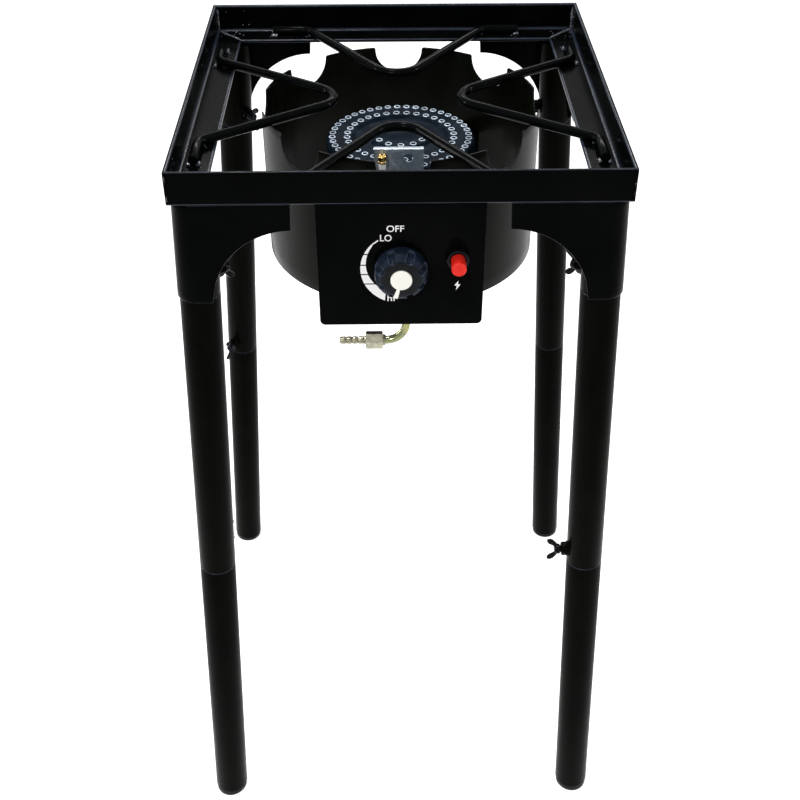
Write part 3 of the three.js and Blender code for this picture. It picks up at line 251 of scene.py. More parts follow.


# Entries with edge= get a painted highlight, a lighter colour mixed into their sharp edges.
SURFACES = {
    "powder_coat": dict(
        stops=[(0.35, (0.0006, 0.0008, 0.0009)), (0.70, (0.0016, 0.0019, 0.0018))],
        roughness=(0.16, 0.24), grain=[(520, 0.08, 0.0002), (60, 0.06, 0.0006)], mottle=18, specular=0.014,
    ),
    # the edge coat: a lighter, bluish copy of the black coat for fillets, bevels and shoulders, a painted
    # highlight
    "edge_highlight_coat": dict(
        stops=[(0.35, (0.006, 0.009, 0.015)), (0.70, (0.018, 0.025, 0.040))],
        roughness=(0.16, 0.26), grain=[(520, 0.10, 0.0002)], mottle=40, specular=0.16,
    ),
    # an olive-tinted copy of the black coat: painted reflection, the olive sheen along the legs
    "leg_coat": dict(
        stops=[(0.35, (0.0006, 0.0008, 0.0004)), (0.70, (0.0020, 0.0025, 0.0014))],
        roughness=(0.26, 0.36), grain=[(520, 0.10, 0.0002)], mottle=24, specular=0.017,
    ),
    # an olive copy of the black coat, twice as light: painted reflection, the olive sheen on the windscreen's
    # sides
    "screen_coat": dict(
        stops=[(0.35, (0.0012, 0.0016, 0.0008)), (0.70, (0.0036, 0.0044, 0.0026))],
        roughness=(0.24, 0.34), grain=[(520, 0.10, 0.0002)], mottle=14, specular=0.036,
    ),
    # a lighter, bluish copy of the black coat for the wing screws: a painted sheen standing in for their
    # glints
    "screw_coat": dict(
        stops=[(0.35, (0.0012, 0.0017, 0.0026)), (0.70, (0.0036, 0.0048, 0.0075))],
        roughness=(0.14, 0.24), grain=[(520, 0.08, 0.0002)], mottle=60, specular=0.05,
    ),
    "rod_coat": dict(
        stops=[(0.35, (0.0008, 0.0010, 0.0012)), (0.70, (0.0020, 0.0024, 0.0026))],
        roughness=(0.12, 0.18), grain=[(520, 0.06, 0.0002)], mottle=30, specular=0.022,
    ),
    # welds: a base far lighter than the black coat, with bright bluish edges: painted glints
    "weld_glint_coat": dict(
        stops=[(0.35, (0.004, 0.005, 0.008)), (0.70, (0.030, 0.036, 0.048))],
        roughness=(0.08, 0.16), grain=[(700, 0.30, 0.0003)], mottle=240, specular=0.9,
        edge=((0.34, 0.38, 0.45), 0.8),
    ),
    "cast_iron": dict(
        stops=[(0.30, (0.0020, 0.0045, 0.0085)), (0.55, (0.0050, 0.0092, 0.0160)),
               (0.75, (0.012, 0.019, 0.031))],
        roughness=(0.30, 0.48), metallic=0.04, grain=[(1300, 0.30, 0.0003), (260, 0.25, 0.0008)],
        mottle=70, specular=0.012,
        edge=((0.13, 0.16, 0.21), 0.5),
    ),
    # light ring colour for the ports' crests: a painted highlight
    "port_rim_highlight": dict(
        stops=[(0.30, (0.42, 0.52, 0.64)), (0.70, (0.70, 0.80, 0.92))],
        roughness=(0.22, 0.36), metallic=0.1, grain=[(900, 0.15, 0.0002)], mottle=120,
    ),
    # near black for the ports' shallow dishes: a painted shadow in place of the open holes
    "port_shadow": dict(
        stops=[(0.30, (0.002, 0.002, 0.003)), (0.70, (0.006, 0.006, 0.008))],
        roughness=(0.75, 0.90), grain=[(900, 0.30, 0.0002)], mottle=300, specular=0.1,
    ),
    "zinc_plate": dict(
        stops=[(0.30, (0.13, 0.18, 0.25)), (0.55, (0.20, 0.26, 0.34)),
               (0.75, (0.27, 0.34, 0.42))],
        roughness=(0.24, 0.34), metallic=0.55, grain=[(900, 0.02, 0.0001, (1, 1, 0.06))], mottle=18,
        edge=((0.80, 0.84, 0.88), 0.7),
    ),
    "yellow_zinc": dict(
        stops=[(0.28, (0.08, 0.12, 0.15)), (0.45, (0.17, 0.19, 0.12)), (0.60, (0.30, 0.29, 0.12)),
               (0.80, (0.22, 0.22, 0.12))],
        roughness=(0.14, 0.24), metallic=1.0, grain=[(800, 0.05, 0.0002, (0.1, 1, 1)), (120, 0.06, 0.0005)],
        mottle=45,
    ),
    "brass": dict(
        stops=[(0.30, (0.46, 0.31, 0.10)), (0.70, (0.66, 0.48, 0.18))],
        roughness=(0.20, 0.34), metallic=1.0, grain=[(1200, 0.10, 0.0002)], mottle=120,
        edge=((0.82, 0.66, 0.34), 0.6),
    ),
    "steel": dict(
        stops=[(0.30, (0.17, 0.165, 0.115)), (0.70, (0.29, 0.28, 0.205))],
        roughness=(0.20, 0.32), metallic=1.0, grain=[(200, 0.06, 0.0003)], mottle=90,
        edge=((0.62, 0.60, 0.50), 0.6),
    ),
    "black_plastic": dict(
        stops=[(0.35, (0.0025, 0.003, 0.004)), (0.70, (0.006, 0.007, 0.009))],
        roughness=(0.30, 0.42), grain=[(1500, 0.16, 0.0001)], mottle=90, specular=0.10,
        edge=((0.05, 0.055, 0.07), 0.5),
    ),
    "knob_plastic": dict(
        stops=[(0.35, (0.006, 0.011, 0.021)), (0.70, (0.011, 0.018, 0.034))],
        roughness=(0.26, 0.36), grain=[(1600, 0.12, 0.0001)], mottle=110, specular=0.10,
        edge=((0.13, 0.17, 0.26), 0.9),
    ),
    "white_plastic": dict(
        stops=[(0.35, (0.92, 0.92, 0.83)), (0.70, (0.95, 0.95, 0.88))],
        roughness=(0.36, 0.48), grain=[(1500, 0.12, 0.0001)], mottle=140,
    ),
    "print_white": dict(
        stops=[(0.35, (0.88, 0.88, 0.87)), (0.70, (0.93, 0.93, 0.92))],
        roughness=(0.45, 0.60), grain=[(1800, 0.20, 0.00005)], mottle=300,
    ),
    "red_plastic": dict(
        stops=[(0.35, (0.74, 0.014, 0.008)), (0.70, (0.86, 0.032, 0.018))],
        roughness=(0.26, 0.40), grain=[(1500, 0.16, 0.0001)], mottle=160, specular=0.2,
        edge=((0.92, 0.14, 0.10), 0.5),
    ),
    "ceramic": dict(
        stops=[(0.35, (0.92, 0.92, 0.86)), (0.70, (0.95, 0.95, 0.90))],
        roughness=(0.16, 0.28), grain=[(500, 0.08, 0.0002)], mottle=160, coat=0.4,
    ),
    "lead_sleeve": dict(
        stops=[(0.35, (0.012, 0.012, 0.013)), (0.70, (0.024, 0.024, 0.026))],
        roughness=(0.42, 0.58), grain=[(1400, 0.20, 0.0001)], mottle=140,
    ),
}
MATERIALS = {name: finish(name, **values) for name, values in SURFACES.items()}


# ---- mesh building
class Shape:
    """Vertices and faces gathered from several builders, with a material index for each face."""

    def __init__(self):
        self.verts, self.faces, self.finishes = [], [], []

    def add(self, built, matrix=None, index=0):
        verts, faces = (built.verts, built.faces) if isinstance(built, Shape) else built
        start = len(self.verts)
        self.verts += [matrix @ Vector(v) if matrix else Vector(v) for v in verts]
        self.faces += [[start + i for i in face] for face in faces]
        self.finishes += [index] * len(faces)
        return self


def piece(
    name, built, body, slot, nodes=(), matrix=None, smooth=35, bevel=0.0, extra=(), weld=0.0, look=None,
):
    """Makes one visible piece from a Shape, a (vertices, faces) pair or a bmesh."""
    mesh = bpy.data.meshes.new(name)
    if isinstance(built, bmesh.types.BMesh):
        built.to_mesh(mesh)
        built.free()
    else:
        shape = built if isinstance(built, Shape) else Shape().add(built, matrix)
        mesh.from_pydata([tuple(v) for v in shape.verts], [], shape.faces)
        mesh.polygons.foreach_set("material_index", shape.finishes)
    for finish_name in (look or slot, *extra):
        mesh.materials.append(MATERIALS[finish_name])
    tidy = bmesh.new()
    tidy.from_mesh(mesh)
    if weld:
        bmesh.ops.remove_doubles(tidy, verts=tidy.verts, dist=weld)
    bmesh.ops.recalc_face_normals(tidy, faces=tidy.faces)
    if bevel:
        round_edges(tidy, bevel)
    tidy.to_mesh(mesh)
    tidy.free()
    mesh.shade_smooth()
    mesh.set_sharp_from_angle(angle=radians(smooth))
    obj = put(name, mesh)
    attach(obj, body)
    if nodes:
        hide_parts(*([nodes] if isinstance(nodes, str) else nodes))
    return obj


def round_edges(mesh, width):
    sharp = [e for e in mesh.edges if e.is_manifold and e.calc_face_angle(0) > SHARP_EDGE]
    bmesh.ops.bevel(
        mesh, geom=sharp, offset=width, offset_type="OFFSET", segments=2, profile=0.6,
        affect="EDGES", clamp_overlap=True,
    )


def refined(node, body, slot, bevel):
    """The CAD node's shape with its edges softened, for sheet and bar whose outline is right."""
    mesh = bmesh.new()
    mesh.from_mesh(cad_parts[node].data)
    bmesh.ops.remove_doubles(mesh, verts=mesh.verts, dist=0.00002)
    bmesh.ops.dissolve_limit(mesh, angle_limit=radians(0.5), verts=mesh.verts, edges=mesh.edges)
    round_edges(mesh, bevel)
    piece(node + "_look", mesh, body, slot, node)


def eased(points, reach, steps=4, closed=False):
    """The same outline with its corners rounded off."""
    count = len(points)
    result = []
    for i in range(count):
        here = Vector(points[i])
        if not closed and i in (0, count - 1):
            result.append(tuple(here))
            continue
        before = Vector(points[i - 1]) - here
        after = Vector(points[(i + 1) % count]) - here
        if before.length < 1e-9 or after.length < 1e-9 or before.angle(-after) < 0.12:
            result.append(tuple(here))
            continue
        start = here + before.normalized() * min(reach, 0.45 * before.length)
        end = here + after.normalized() * min(reach, 0.45 * after.length)
        for step in range(steps + 1):
            t = step / steps
            result.append(tuple(start * (1 - t) ** 2 + here * 2 * t * (1 - t) + end * t * t))
    return result


def lathe(profile, segments=64):
    """A surface of revolution about +Z from (radius, height) points."""
    verts, rings = [], []
    for radius, height in profile:
        if radius < 1e-7:
            rings.append([len(verts)])
            verts.append((0, 0, height))
            continue
        rings.append(list(range(len(verts), len(verts) + segments)))
        for i in range(segments):
            verts.append(around(radius, 2 * pi * i / segments, height))
    faces = []
    for low, high in zip(rings, rings[1:]):
        for i in range(segments):
            j = (i + 1) % segments
            corners = (low[i % len(low)], low[j % len(low)], high[j % len(high)], high[i % len(high)])
            face = list(dict.fromkeys(corners))
            if len(face) > 2:
                faces.append(face)
    return verts, faces


def prism(outline, low, high):
    """A prism over an outline in the XY plane."""
    count = len(outline)
    verts = [(x, y, low) for x, y in outline] + [(x, y, high) for x, y in outline]
    faces = [list(range(count))[::-1], list(range(count, 2 * count))]
    faces += [[i, (i + 1) % count, count + (i + 1) % count, count + i] for i in range(count)]
    return verts, faces


def sweep(path, radius, sides=24):
    """A round bar along a path; radius is one number or one for each point."""
    path = [Vector(p) for p in path]
    radii = radius if isinstance(radius, list) else [radius] * len(path)
    steps = [(b - a).normalized() for a, b in zip(path, path[1:])]
    tangents = [steps[0]] + [(a + b).normalized() for a, b in zip(steps, steps[1:])] + [steps[-1]]
    side = tangents[0].orthogonal().normalized()
    verts, faces = [], []
    for point, tangent, size in zip(path, tangents, radii):
        side = (side - tangent * side.dot(tangent)).normalized()
        other = tangent.cross(side)
        for i in range(sides):
            angle = 2 * pi * i / sides
            verts.append(point + (side * cos(angle) + other * sin(angle)) * size)
    for ring in range(len(path) - 1):
        for i in range(sides):
            j = (i + 1) % sides
            a, b = ring * sides, (ring + 1) * sides
            faces.append([a + i, a + j, b + j, b + i])
    faces.append(list(range(sides))[::-1])
    faces.append([len(verts) - sides + i for i in range(sides)])
    return verts, faces


def bent_path(corners, radii, chords=12):
    """Straight runs through the corners, each corner an arc of its radius."""
    points = [corners[0]]
    for before, corner, after, radius in zip(corners, corners[1:], corners[2:], radii):
        back = (before - corner).normalized()
        on = (after - corner).normalized()
        half = back.angle(on) / 2
        inward = (back + on).normalized()
        across = (back - on).normalized()
        centre = corner + inward * radius / sin(half)
        swept = pi / 2 - half
        for step in range(chords + 1):
            angle = swept - 2 * swept * step / chords
            points.append(centre - inward * radius * cos(angle) + across * radius * sin(angle))
    points.append(corners[-1])
    return points


def soft_ends(path, radius, ease):
    """Extra points that round a bar's two ends."""
    first = (path[1] - path[0]).normalized()
    last = (path[-1] - path[-2]).normalized()
    points = [path[0], path[0] + first * ease * 0.3, path[0] + first * ease, *path[1:-1]]
    points += [path[-1] - last * ease, path[-1] - last * ease * 0.3, path[-1]]
    end_radii = [radius - ease, radius - ease * 0.3]
    return points, end_radii + [radius] * (len(points) - 4) + end_radii[::-1]


def bead(start, end, radius, seed):
    """A weld bead: a rippled, slightly uneven run between two points."""
    start, end = Vector(start), Vector(end)
    count = max(8, int((end - start).length / (0.45 * MM)))
    path, radii = [], []
    for i in range(count + 1):
        t = i / count
        drift = noise.noise_vector(Vector((seed * 7.3, t * 6, 1.7))) * radius * 0.25
        path.append(start.lerp(end, t) + drift)
        ends = min(1.0, 0.35 + 6 * min(t, 1 - t))
        ripple = 0.86 + 0.12 * sin(i * 1.55) + 0.20 * noise.noise(Vector((t * 9, seed, 0.3)))
        radii.append(radius * ends * ripple)
    return sweep(path, radii, 10)


def droplet(point, radius):
    """A drop of weld spatter, half sunk in the surface."""
    shares = ((0, -1), (0.7, -0.7), (1, 0), (0.8, 0.5), (0, 0.8))
    profile = [(radius * out, radius * up) for out, up in shares]
    verts, faces = lathe(eased(profile, radius * 0.4, 2), 10)
    return [Vector(v) + Vector(point) for v in verts], faces


def hex_bar(across, length, chamfer):
    """A hexagon bar along +Z, its ends chamfered as turned nuts are."""
    verts, faces, rows = [], [], []
    columns = 72
    inner = across / 2 * 0.96
    for level in range(4):
        ring = []
        for i in range(columns):
            angle = 2 * pi * i / columns
            offset = (angle + pi / 6) % (pi / 3) - pi / 6
            full = across / 2 / cos(offset)
            drop = (full - inner) * chamfer
            radius, height = [(inner, 0), (full, drop), (full, length - drop), (inner, length)][level]
            ring.append(len(verts))
            verts.append(around(radius, angle, height))
        rows.append(ring)
    for low, high in zip(rows, rows[1:]):
        for i in range(columns):
            j = (i + 1) % columns
            faces.append([low[i], low[j], high[j], high[i]])
    faces.append(rows[0][::-1])
    faces.append(rows[-1])
    return verts, faces


def outward(x, z):
    """Frame on the control panel: local Z points out towards the front, local Y up."""
    return Matrix(((1, 0, 0, x), (0, 0, -1, -HALF), (0, 1, 0, z), (0, 0, 0, 1)))


def along(point, direction):
    """Frame whose local Z runs in a direction."""
    turn = Vector((0, 0, 1)).rotation_difference(Vector(direction)).to_matrix().to_4x4()
    return Matrix.Translation(point) @ turn


def about_z(angle):
    return Matrix.Rotation(angle, 4, "Z")


def in_mm(*pairs):
    """Points given in millimetres, turned into metres."""
    return [(a * MM, b * MM) for a, b in pairs]


def raised(base, *pairs):
    """Points in millimetres, their heights counted from a base that is in metres."""
    return [(a * MM, base + b * MM) for a, b in pairs]


def around(radius, angle, height):
    return (radius * cos(angle), radius * sin(angle), height)


def make_sheet(obj, wall):
    """Gives a surface its wall, and rounded edges that catch the light and carry the lighter edge coat, a
    painted highlight.
    """
    thick = obj.modifiers.new("wall", "SOLIDIFY")
    thick.thickness = wall
    thick.offset = 0
    soft = obj.modifiers.new("edges", "BEVEL")
    soft.width = SHEET_EDGE
    soft.segments = 2
    soft.limit_method = "ANGLE"
    soft.angle_limit = radians(55)
    # the bevel faces take the second material, the lighter edge coat: a painted highlight
    soft.material = 1


SIDES = {"front": 0.0, "right": pi / 2, "back": pi, "left": -pi / 2}


# ---- frame
def add_rails():
    wall = ANGLE_WALL
    section = [(0, 0), (ANGLE, 0), (ANGLE, wall), (wall, wall), (wall, ANGLE), (0, ANGLE)]
    outline = []
    for i, reach in enumerate(RAIL_FILLETS):
        three = [section[i - 1], section[i], section[(i + 1) % 6]]
        outline += eased(three, reach, 5)[1:-1]
    corner_points = len(outline) // len(section)
    stations = 9
    for side, angle in SIDES.items():
        verts, faces = [], []
        count = len(outline)
        for station in range(stations):
            share = 2 * station / (stations - 1) - 1
            for inward, up in outline:
                verts.append((share * (HALF - inward - SEAT / 4), -HALF + inward, UNDERSIDE + up))
        for station in range(stations - 1):
            for i in range(count):
                j = (i + 1) % count
                a, b = station * count, (station + 1) * count
                faces.append([a + i, b + i, b + j, a + j])
        faces.append(list(range(count)))
        faces.append([len(verts) - count + i for i in range(count)][::-1])
        shape = Shape().add((verts, faces), about_z(angle))
        runs = (stations - 1) * count
        # fillet faces take the lighter edge coat, a painted highlight; flat faces keep the powder coat
        shape.finishes[:runs] = [int(i % count % corner_points != corner_points - 1) for i in range(runs)]
        piece(
            f"{side}_rail_look", shape, "stand", "powder_coat", f"{side}_rail",
            smooth=28, extra=("edge_highlight_coat",),
        )


def add_frame_welds():
    random.seed(11)
    noise.seed_set(11)  # left alone, it is set from the clock
    for index, (side, angle) in enumerate(SIDES.items()):
        shape = Shape()
        for inset, low, high, radius, seed in (
            (1.2 * MM, UNDERSIDE + 1 * MM, HEIGHT - 1.5 * MM, 1.3 * MM, index),
            (4.2 * MM, FLANGE_TOP, HEIGHT - 4 * MM, 1.6 * MM, index + 9),
        ):
            x, y = HALF - inset, inset - HALF
            shape.add(bead((x, y, low), (x, y, high), radius, seed))
        end = HALF - ANGLE + 1 * MM
        shape.add(bead((x, y, FLANGE_TOP), (end, -end, FLANGE_TOP), 1.5 * MM, index + 20))
        for _ in range(9):
            x = HALF - random.uniform(6, 34) * MM
            y = -HALF + random.uniform(5, 30) * MM
            shape.add(droplet((x, y, FLANGE_TOP), random.uniform(0.45, 1.05) * MM))
        for _ in range(4):
            z = random.uniform(UNDERSIDE + 6 * MM, HEIGHT - 4 * MM)
            x = HALF - random.uniform(8, 40) * MM
            shape.add(droplet((x, -HALF + ANGLE_WALL, z), random.uniform(0.4, 0.8) * MM))
        welds = Shape().add(shape, about_z(angle))
        piece(f"{side}_corner_weld", welds, "stand", "powder_coat", smooth=60, look="weld_glint_coat")


def support_path():
    half_angle = atan(ROD_SLOPE)
    tip = ROD_REACH - ROD_APEX_RADIUS * (1 / sin(half_angle) - 1)
    spread_x = (ROD_RUN - tip) * ROD_SLOPE
    corners = [
        Vector((x, y, 0)) for x, y in
        ((-ROD_END, -ROD_RUN), (-spread_x, -ROD_RUN), (0, -tip), (spread_x, -ROD_RUN), (ROD_END, -ROD_RUN))
    ]
    return bent_path(corners, [ROD_BEND, ROD_APEX_RADIUS, ROD_BEND], 16), spread_x


def add_supports():
    path, spread_x = support_path()
    points, radii = soft_ends(path, ROD_RADIUS, 0.7 * MM)
    inset, beside = 2 * MM, 4.6 * MM
    z = -ROD_RADIUS + 0.8 * MM
    for index, (side, angle) in enumerate(SIDES.items()):
        shift = SIDE_SHIFT if side in ("left", "right") else 0
        matrix = Matrix.Translation((0, shift, ROD_Z)) @ about_z(angle)
        name = f"{side}_pot_support"
        piece(f"{name}_look", sweep(points, radii, 32), "stand", "powder_coat", name, matrix, look="rod_coat")
        welds = Shape()
        for place, x in enumerate((-ROD_END + inset, -spread_x + inset, spread_x - inset, ROD_END - inset)):
            for lateral in (-1, 1):
                y = -ROD_RUN + lateral * beside
                seed = index * 10 + place + 0.5 * lateral
                welds.add(bead((x - 3.2 * MM, y, z), (x + 3.4 * MM, y, z), 1.9 * MM, seed), matrix)
            welds.add(droplet((x + 5 * MM, -ROD_RUN + 7 * MM, -ROD_RADIUS - SEAT), 0.7 * MM), matrix)
        piece(f"{side}_support_weld", welds, "stand", "powder_coat", smooth=60, look="weld_glint_coat")


# ---- windscreen
def scallop_height(angle):
    """Height of the windscreen's edge at an angle about the burner."""
    step = pi / 4
    offset = (angle + step / 2) % step - step / 2
    x = abs(SCREEN_RADIUS * sin(offset))
    if x < SCALLOP:
        return SCREEN_TOP - SCALLOP_DROP - sqrt(SCALLOP ** 2 - x * x)
    short = max(0.0, SCALLOP + SCALLOP_CORNER - x)
    return SCREEN_TOP - SCALLOP_CORNER + sqrt(SCALLOP_CORNER ** 2 - short * short)


def port_half_height(angle):
    x = BURNER.x + SCREEN_RADIUS * cos(angle)
    if sin(angle) > 0:
        return 0.0
    return sqrt(max(0.0, PORT_RADIUS ** 2 - x * x))


def screen_angles():
    """Angles of the windscreen's columns, close together round its scallops and its port."""
    angles = []
    step_angle = pi / 4
    reach = asin((SCALLOP + SCALLOP_CORNER) / SCREEN_RADIUS)
    for i in range(8):
        centre = i * pi / 4
        for step in range(7):
            x = SCALLOP + SCALLOP_CORNER * (1 - cos(pi / 2 * step / 6))
            angles += [centre + way * asin(x / SCREEN_RADIUS) for way in (-1, 1)]
        for step in range(25):
            angles.append(centre + asin(SCALLOP / SCREEN_RADIUS * cos(pi * step / 24)))
        for step in range(1, 8):
            angles.append(centre + reach + (step_angle - 2 * reach) * step / 8)
    for step in range(33):
        x = PORT_RADIUS * cos(pi * step / 32) - BURNER.x
        angles.append(1.5 * pi + asin(x / SCREEN_RADIUS))
    ordered = sorted({round(angle % (2 * pi), 7) for angle in angles})
    columns = [ordered[0]]
    for angle in ordered[1:]:
        if angle - columns[-1] > 1e-4:
            columns.append(angle)
    return columns


def add_windscreen():
    verts, grid = [], []
    below, above = 6, 8
    for angle in screen_angles():
        half, top = port_half_height(angle), scallop_height(angle)
        levels = [SCREEN_BOTTOM + (AXIS_Z - half - SCREEN_BOTTOM) * t / below for t in range(below + 1)]
        levels += [AXIS_Z + half + (top - AXIS_Z - half) * t / above for t in range(above + 1)]
        grid.append(list(range(len(verts), len(verts) + len(levels))))
        verts += [around(SCREEN_RADIUS - SCREEN_WALL / 2, angle, z) for z in levels]
    faces = []
    for i, left in enumerate(grid):
        right = grid[(i + 1) % len(grid)]
        for row in range(len(left) - 1):
            if row != below:
                faces.append([left[row], right[row], right[row + 1], left[row + 1]])
    obj = piece(
        "windscreen_look", (verts, faces), "stand", "powder_coat", "windscreen", Matrix.Translation(BURNER),
        smooth=50, look="screen_coat", extra=("edge_highlight_coat",), weld=1e-6,
    )
    make_sheet(obj, SCREEN_WALL)


# ---- burner
def add_cap():
    profile = raised(CAP_FOOT, (0, 6), (26, 6), (48, 3), (66, 0)) + [
        (CAP_RADIUS - 2 * MM, CAP_FOOT), (CAP_RADIUS, CAP_FOOT + 2 * MM), (CAP_RADIUS, PORT_FACE - 5 * MM),
        (CAP_RADIUS - 1 * MM, PORT_FACE - 2 * MM), (CAP_RADIUS - 3.5 * MM, PORT_FACE),
    ] + raised(PORT_FACE, (50, 0), (46, -3), (32, -3), (29, 1), (0, 1))
    shape = Shape().add(lathe(eased(profile, 1.6 * MM, 4), 128), Matrix.Translation(BURNER))
    # Each port is a crest in a light rim colour, a painted highlight, round a shallow dish in near black, a
    # painted shadow in place of the open hole.
    rim = in_mm((3.5, -0.3), (3.35, 0.45), (3.0, 0.8), (2.6, 0.75), (2.35, 0.35))
    hole = in_mm((2.45, 0.45), (2.0, 0.10), (1.2, 0.06), (0, 0.05))
    # radius of the ring, number of ports, angle of the first one, height over the port face
    rings = ((70.0, 44, 83.9, 0.0), (54.8, 32, 82.4, 0.0), (25.0, 12, 0.0, 1.0))
    for radius, count, phase, lift in rings:
        for i in range(count):
            angle = radians(phase + 360 * i / count)
            where = Matrix.Translation(BURNER + Vector(around(radius * MM, angle, PORT_FACE + lift * MM)))
            shape.add(lathe(eased(rim, 0.4 * MM, 2), 20), where, 1)
            shape.add(lathe(hole, 20), where, 2)
    piece(
        "burner_cap_look", shape, "stand", "cast_iron", "burner_cap",
        extra=("port_rim_highlight", "port_shadow"), smooth=45,
    )


def add_burner_body():
    inside, floor = BOWL_RADIUS - 4 * MM, BOWL_FLOOR + 8 * MM
    bowl = [
        (0, BOWL_FLOOR), (30 * MM, BOWL_FLOOR), (BOWL_RADIUS, BOWL_TOP - 8 * MM), (BOWL_RADIUS, BOWL_TOP),
        (inside, BOWL_TOP), (inside, BOWL_TOP - 6 * MM), (26 * MM, floor), (0, floor),
    ]
    shape = Shape().add(lathe(eased(bowl, 3 * MM, 4), 96), Matrix.Translation(BURNER))
    reach = BURNER.y - TUBE_MOUTH
    bore = TUBE_RADIUS - 3.5 * MM
    tube = [
        (bore, reach - 60 * MM), (bore, reach), (TUBE_RADIUS, reach), (TUBE_RADIUS, 66 * MM),
        (TUBE_RADIUS + 3 * MM, 50 * MM), (TUBE_RADIUS + 3 * MM, 30 * MM),
    ]
    shape.add(lathe(eased(tube, 0.8 * MM, 3), 64), along((0, BURNER.y, AXIS_Z), (0, -1, 0)))
    piece("burner_body_look", shape, "stand", "cast_iron", "burner_body", smooth=45)


# ---- legs
SIDEWAYS = Matrix.Rotation(pi / 2, 4, "Y")


def leg_splay(sx, sy):
    return Vector((sx * (FRONT_SPLAY if sy < 0 else BACK_SPLAY), sy * DEPTH_SPLAY, 0))


def leg_point(sx, sy, z):
    return Vector((sx * LEG_OFFSET, sy * LEG_OFFSET, z)) + leg_splay(sx, sy) * (UNDERSIDE - z)


def leg_frame(sx, sy, z, compass):
    """Frame at a height on a leg: local Z down the leg, local X along the wing screw."""
    down = (leg_splay(sx, sy) - Vector((0, 0, 1))).normalized()
    bearing = radians(compass)
    across = Vector((cos(bearing), sin(bearing), 0))
    across = (across - down * across.dot(down)).normalized()
    turn = Matrix((across, down.cross(across), down)).transposed()
    return Matrix.Translation(leg_point(sx, sy, z)) @ turn.to_4x4()


def weld_nut(depth):
    """The nut welded to a leg, its hole ring and the fillet of weld round it."""
    turn = Matrix.Translation((0, 0, depth)) @ SIDEWAYS
    base = Matrix.Translation((0, 0, LEG_RADIUS - 1.2 * MM))
    shape = Shape().add(hex_bar(13 * MM, 7.7 * MM, 0.6), turn @ base)
    ring, ring_radius = [], 7.4 * MM
    for i in range(49):
        angle = 2 * pi * i / 48
        y, z = ring_radius * cos(angle), ring_radius * sin(angle)
        x = sqrt(max(0.0, LEG_RADIUS ** 2 - y * y)) + 0.2 * MM
        ring.append(Vector((x, y, depth + z)))
    radii = [1.25 * MM * (0.85 + 0.2 * sin(i * 1.3) + 0.1 * sin(i * 3.1)) for i in range(49)]
    shape.add(sweep(ring, radii, 8))
    return shape


def wing_screw():
    """Built along +Z, out of the leg; the wings spread along X."""
    tip = NECK_RADIUS + 0.2 * MM
    base = LEG_RADIUS + 8 * MM
    top = base + 6 * MM
    thread, pitch = 4 * MM, 0.9 * MM
    profile = [(0, tip), (3.2 * MM, tip), (thread, tip + 0.8 * MM)]
    z = tip + 1.2 * MM
    while z < base - pitch:
        profile += [(thread, z), (3.55 * MM, z + 0.3 * MM), (thread, z + 0.6 * MM)]
        z += pitch
    hub = 5.5 * MM
    profile += [(thread, base), (hub, base + 0.1 * MM), (hub, base + 2 * MM)]
    profile += [(4.6 * MM, top), (0, top + 0.4 * MM)]
    shape = Shape().add(lathe(profile, 40))
    half, crest, sheet = 14 * MM, top + 8 * MM, 1.2 * MM
    right = [
        (3.5 * MM, base + 1 * MM), (8 * MM, base + 3.2 * MM), (half - 1.2 * MM, crest - 6.5 * MM),
        (half, crest - 3.5 * MM), (half - 0.6 * MM, crest - 0.6 * MM), (half - 3 * MM, crest),
        (half - 6 * MM, crest - 2.2 * MM), (5 * MM, top + 0.3 * MM), (0, top - 1 * MM),
    ]
    outline = right + [(-x, y) for x, y in right[::-1] if x > 1e-6]
    verts, faces = prism(eased(outline, 2.2 * MM, 4, closed=True), -sheet, sheet)
    wings = bmesh.new()
    made = [wings.verts.new(Vector((x, z, y))) for x, y, z in verts]
    for face in faces:
        wings.faces.new([made[i] for i in face])
    bmesh.ops.recalc_face_normals(wings, faces=wings.faces)
    round_edges(wings, 0.55 * MM)
    wings.verts.index_update()
    shape.add(([v.co.copy() for v in wings.verts], [[v.index for v in f.verts] for f in wings.faces]))
    wings.free()
    return shape


def leg_shape(length, at):
    """A leg with a reduced neck above its shoulder, whose shoulder edge gets the lighter edge coat, a painted
    highlight.
    """
    bore = LEG_RADIUS - LEG_WALL
    profile = [
        (NECK_RADIUS - LEG_WALL, -NECK), (NECK_RADIUS, -NECK), (NECK_RADIUS, 0), (LEG_RADIUS, 0),
        (LEG_RADIUS, length), (bore, length), (bore, length - 30 * MM),
    ]
    verts, faces = lathe(eased(profile, 0.8 * MM, 3), 64)
    shape = Shape().add((verts, faces), at)
    for number, face in enumerate(faces):
        heights = [verts[i][2] for i in face]
        radii = [hypot(verts[i][0], verts[i][1]) for i in face]
        at_edge = min(heights) > -0.1 * MM and max(heights) < 1.2 * MM
        if at_edge and min(radii) > LEG_RADIUS - 0.9 * MM:
            shape.finishes[number] = 1
    return shape


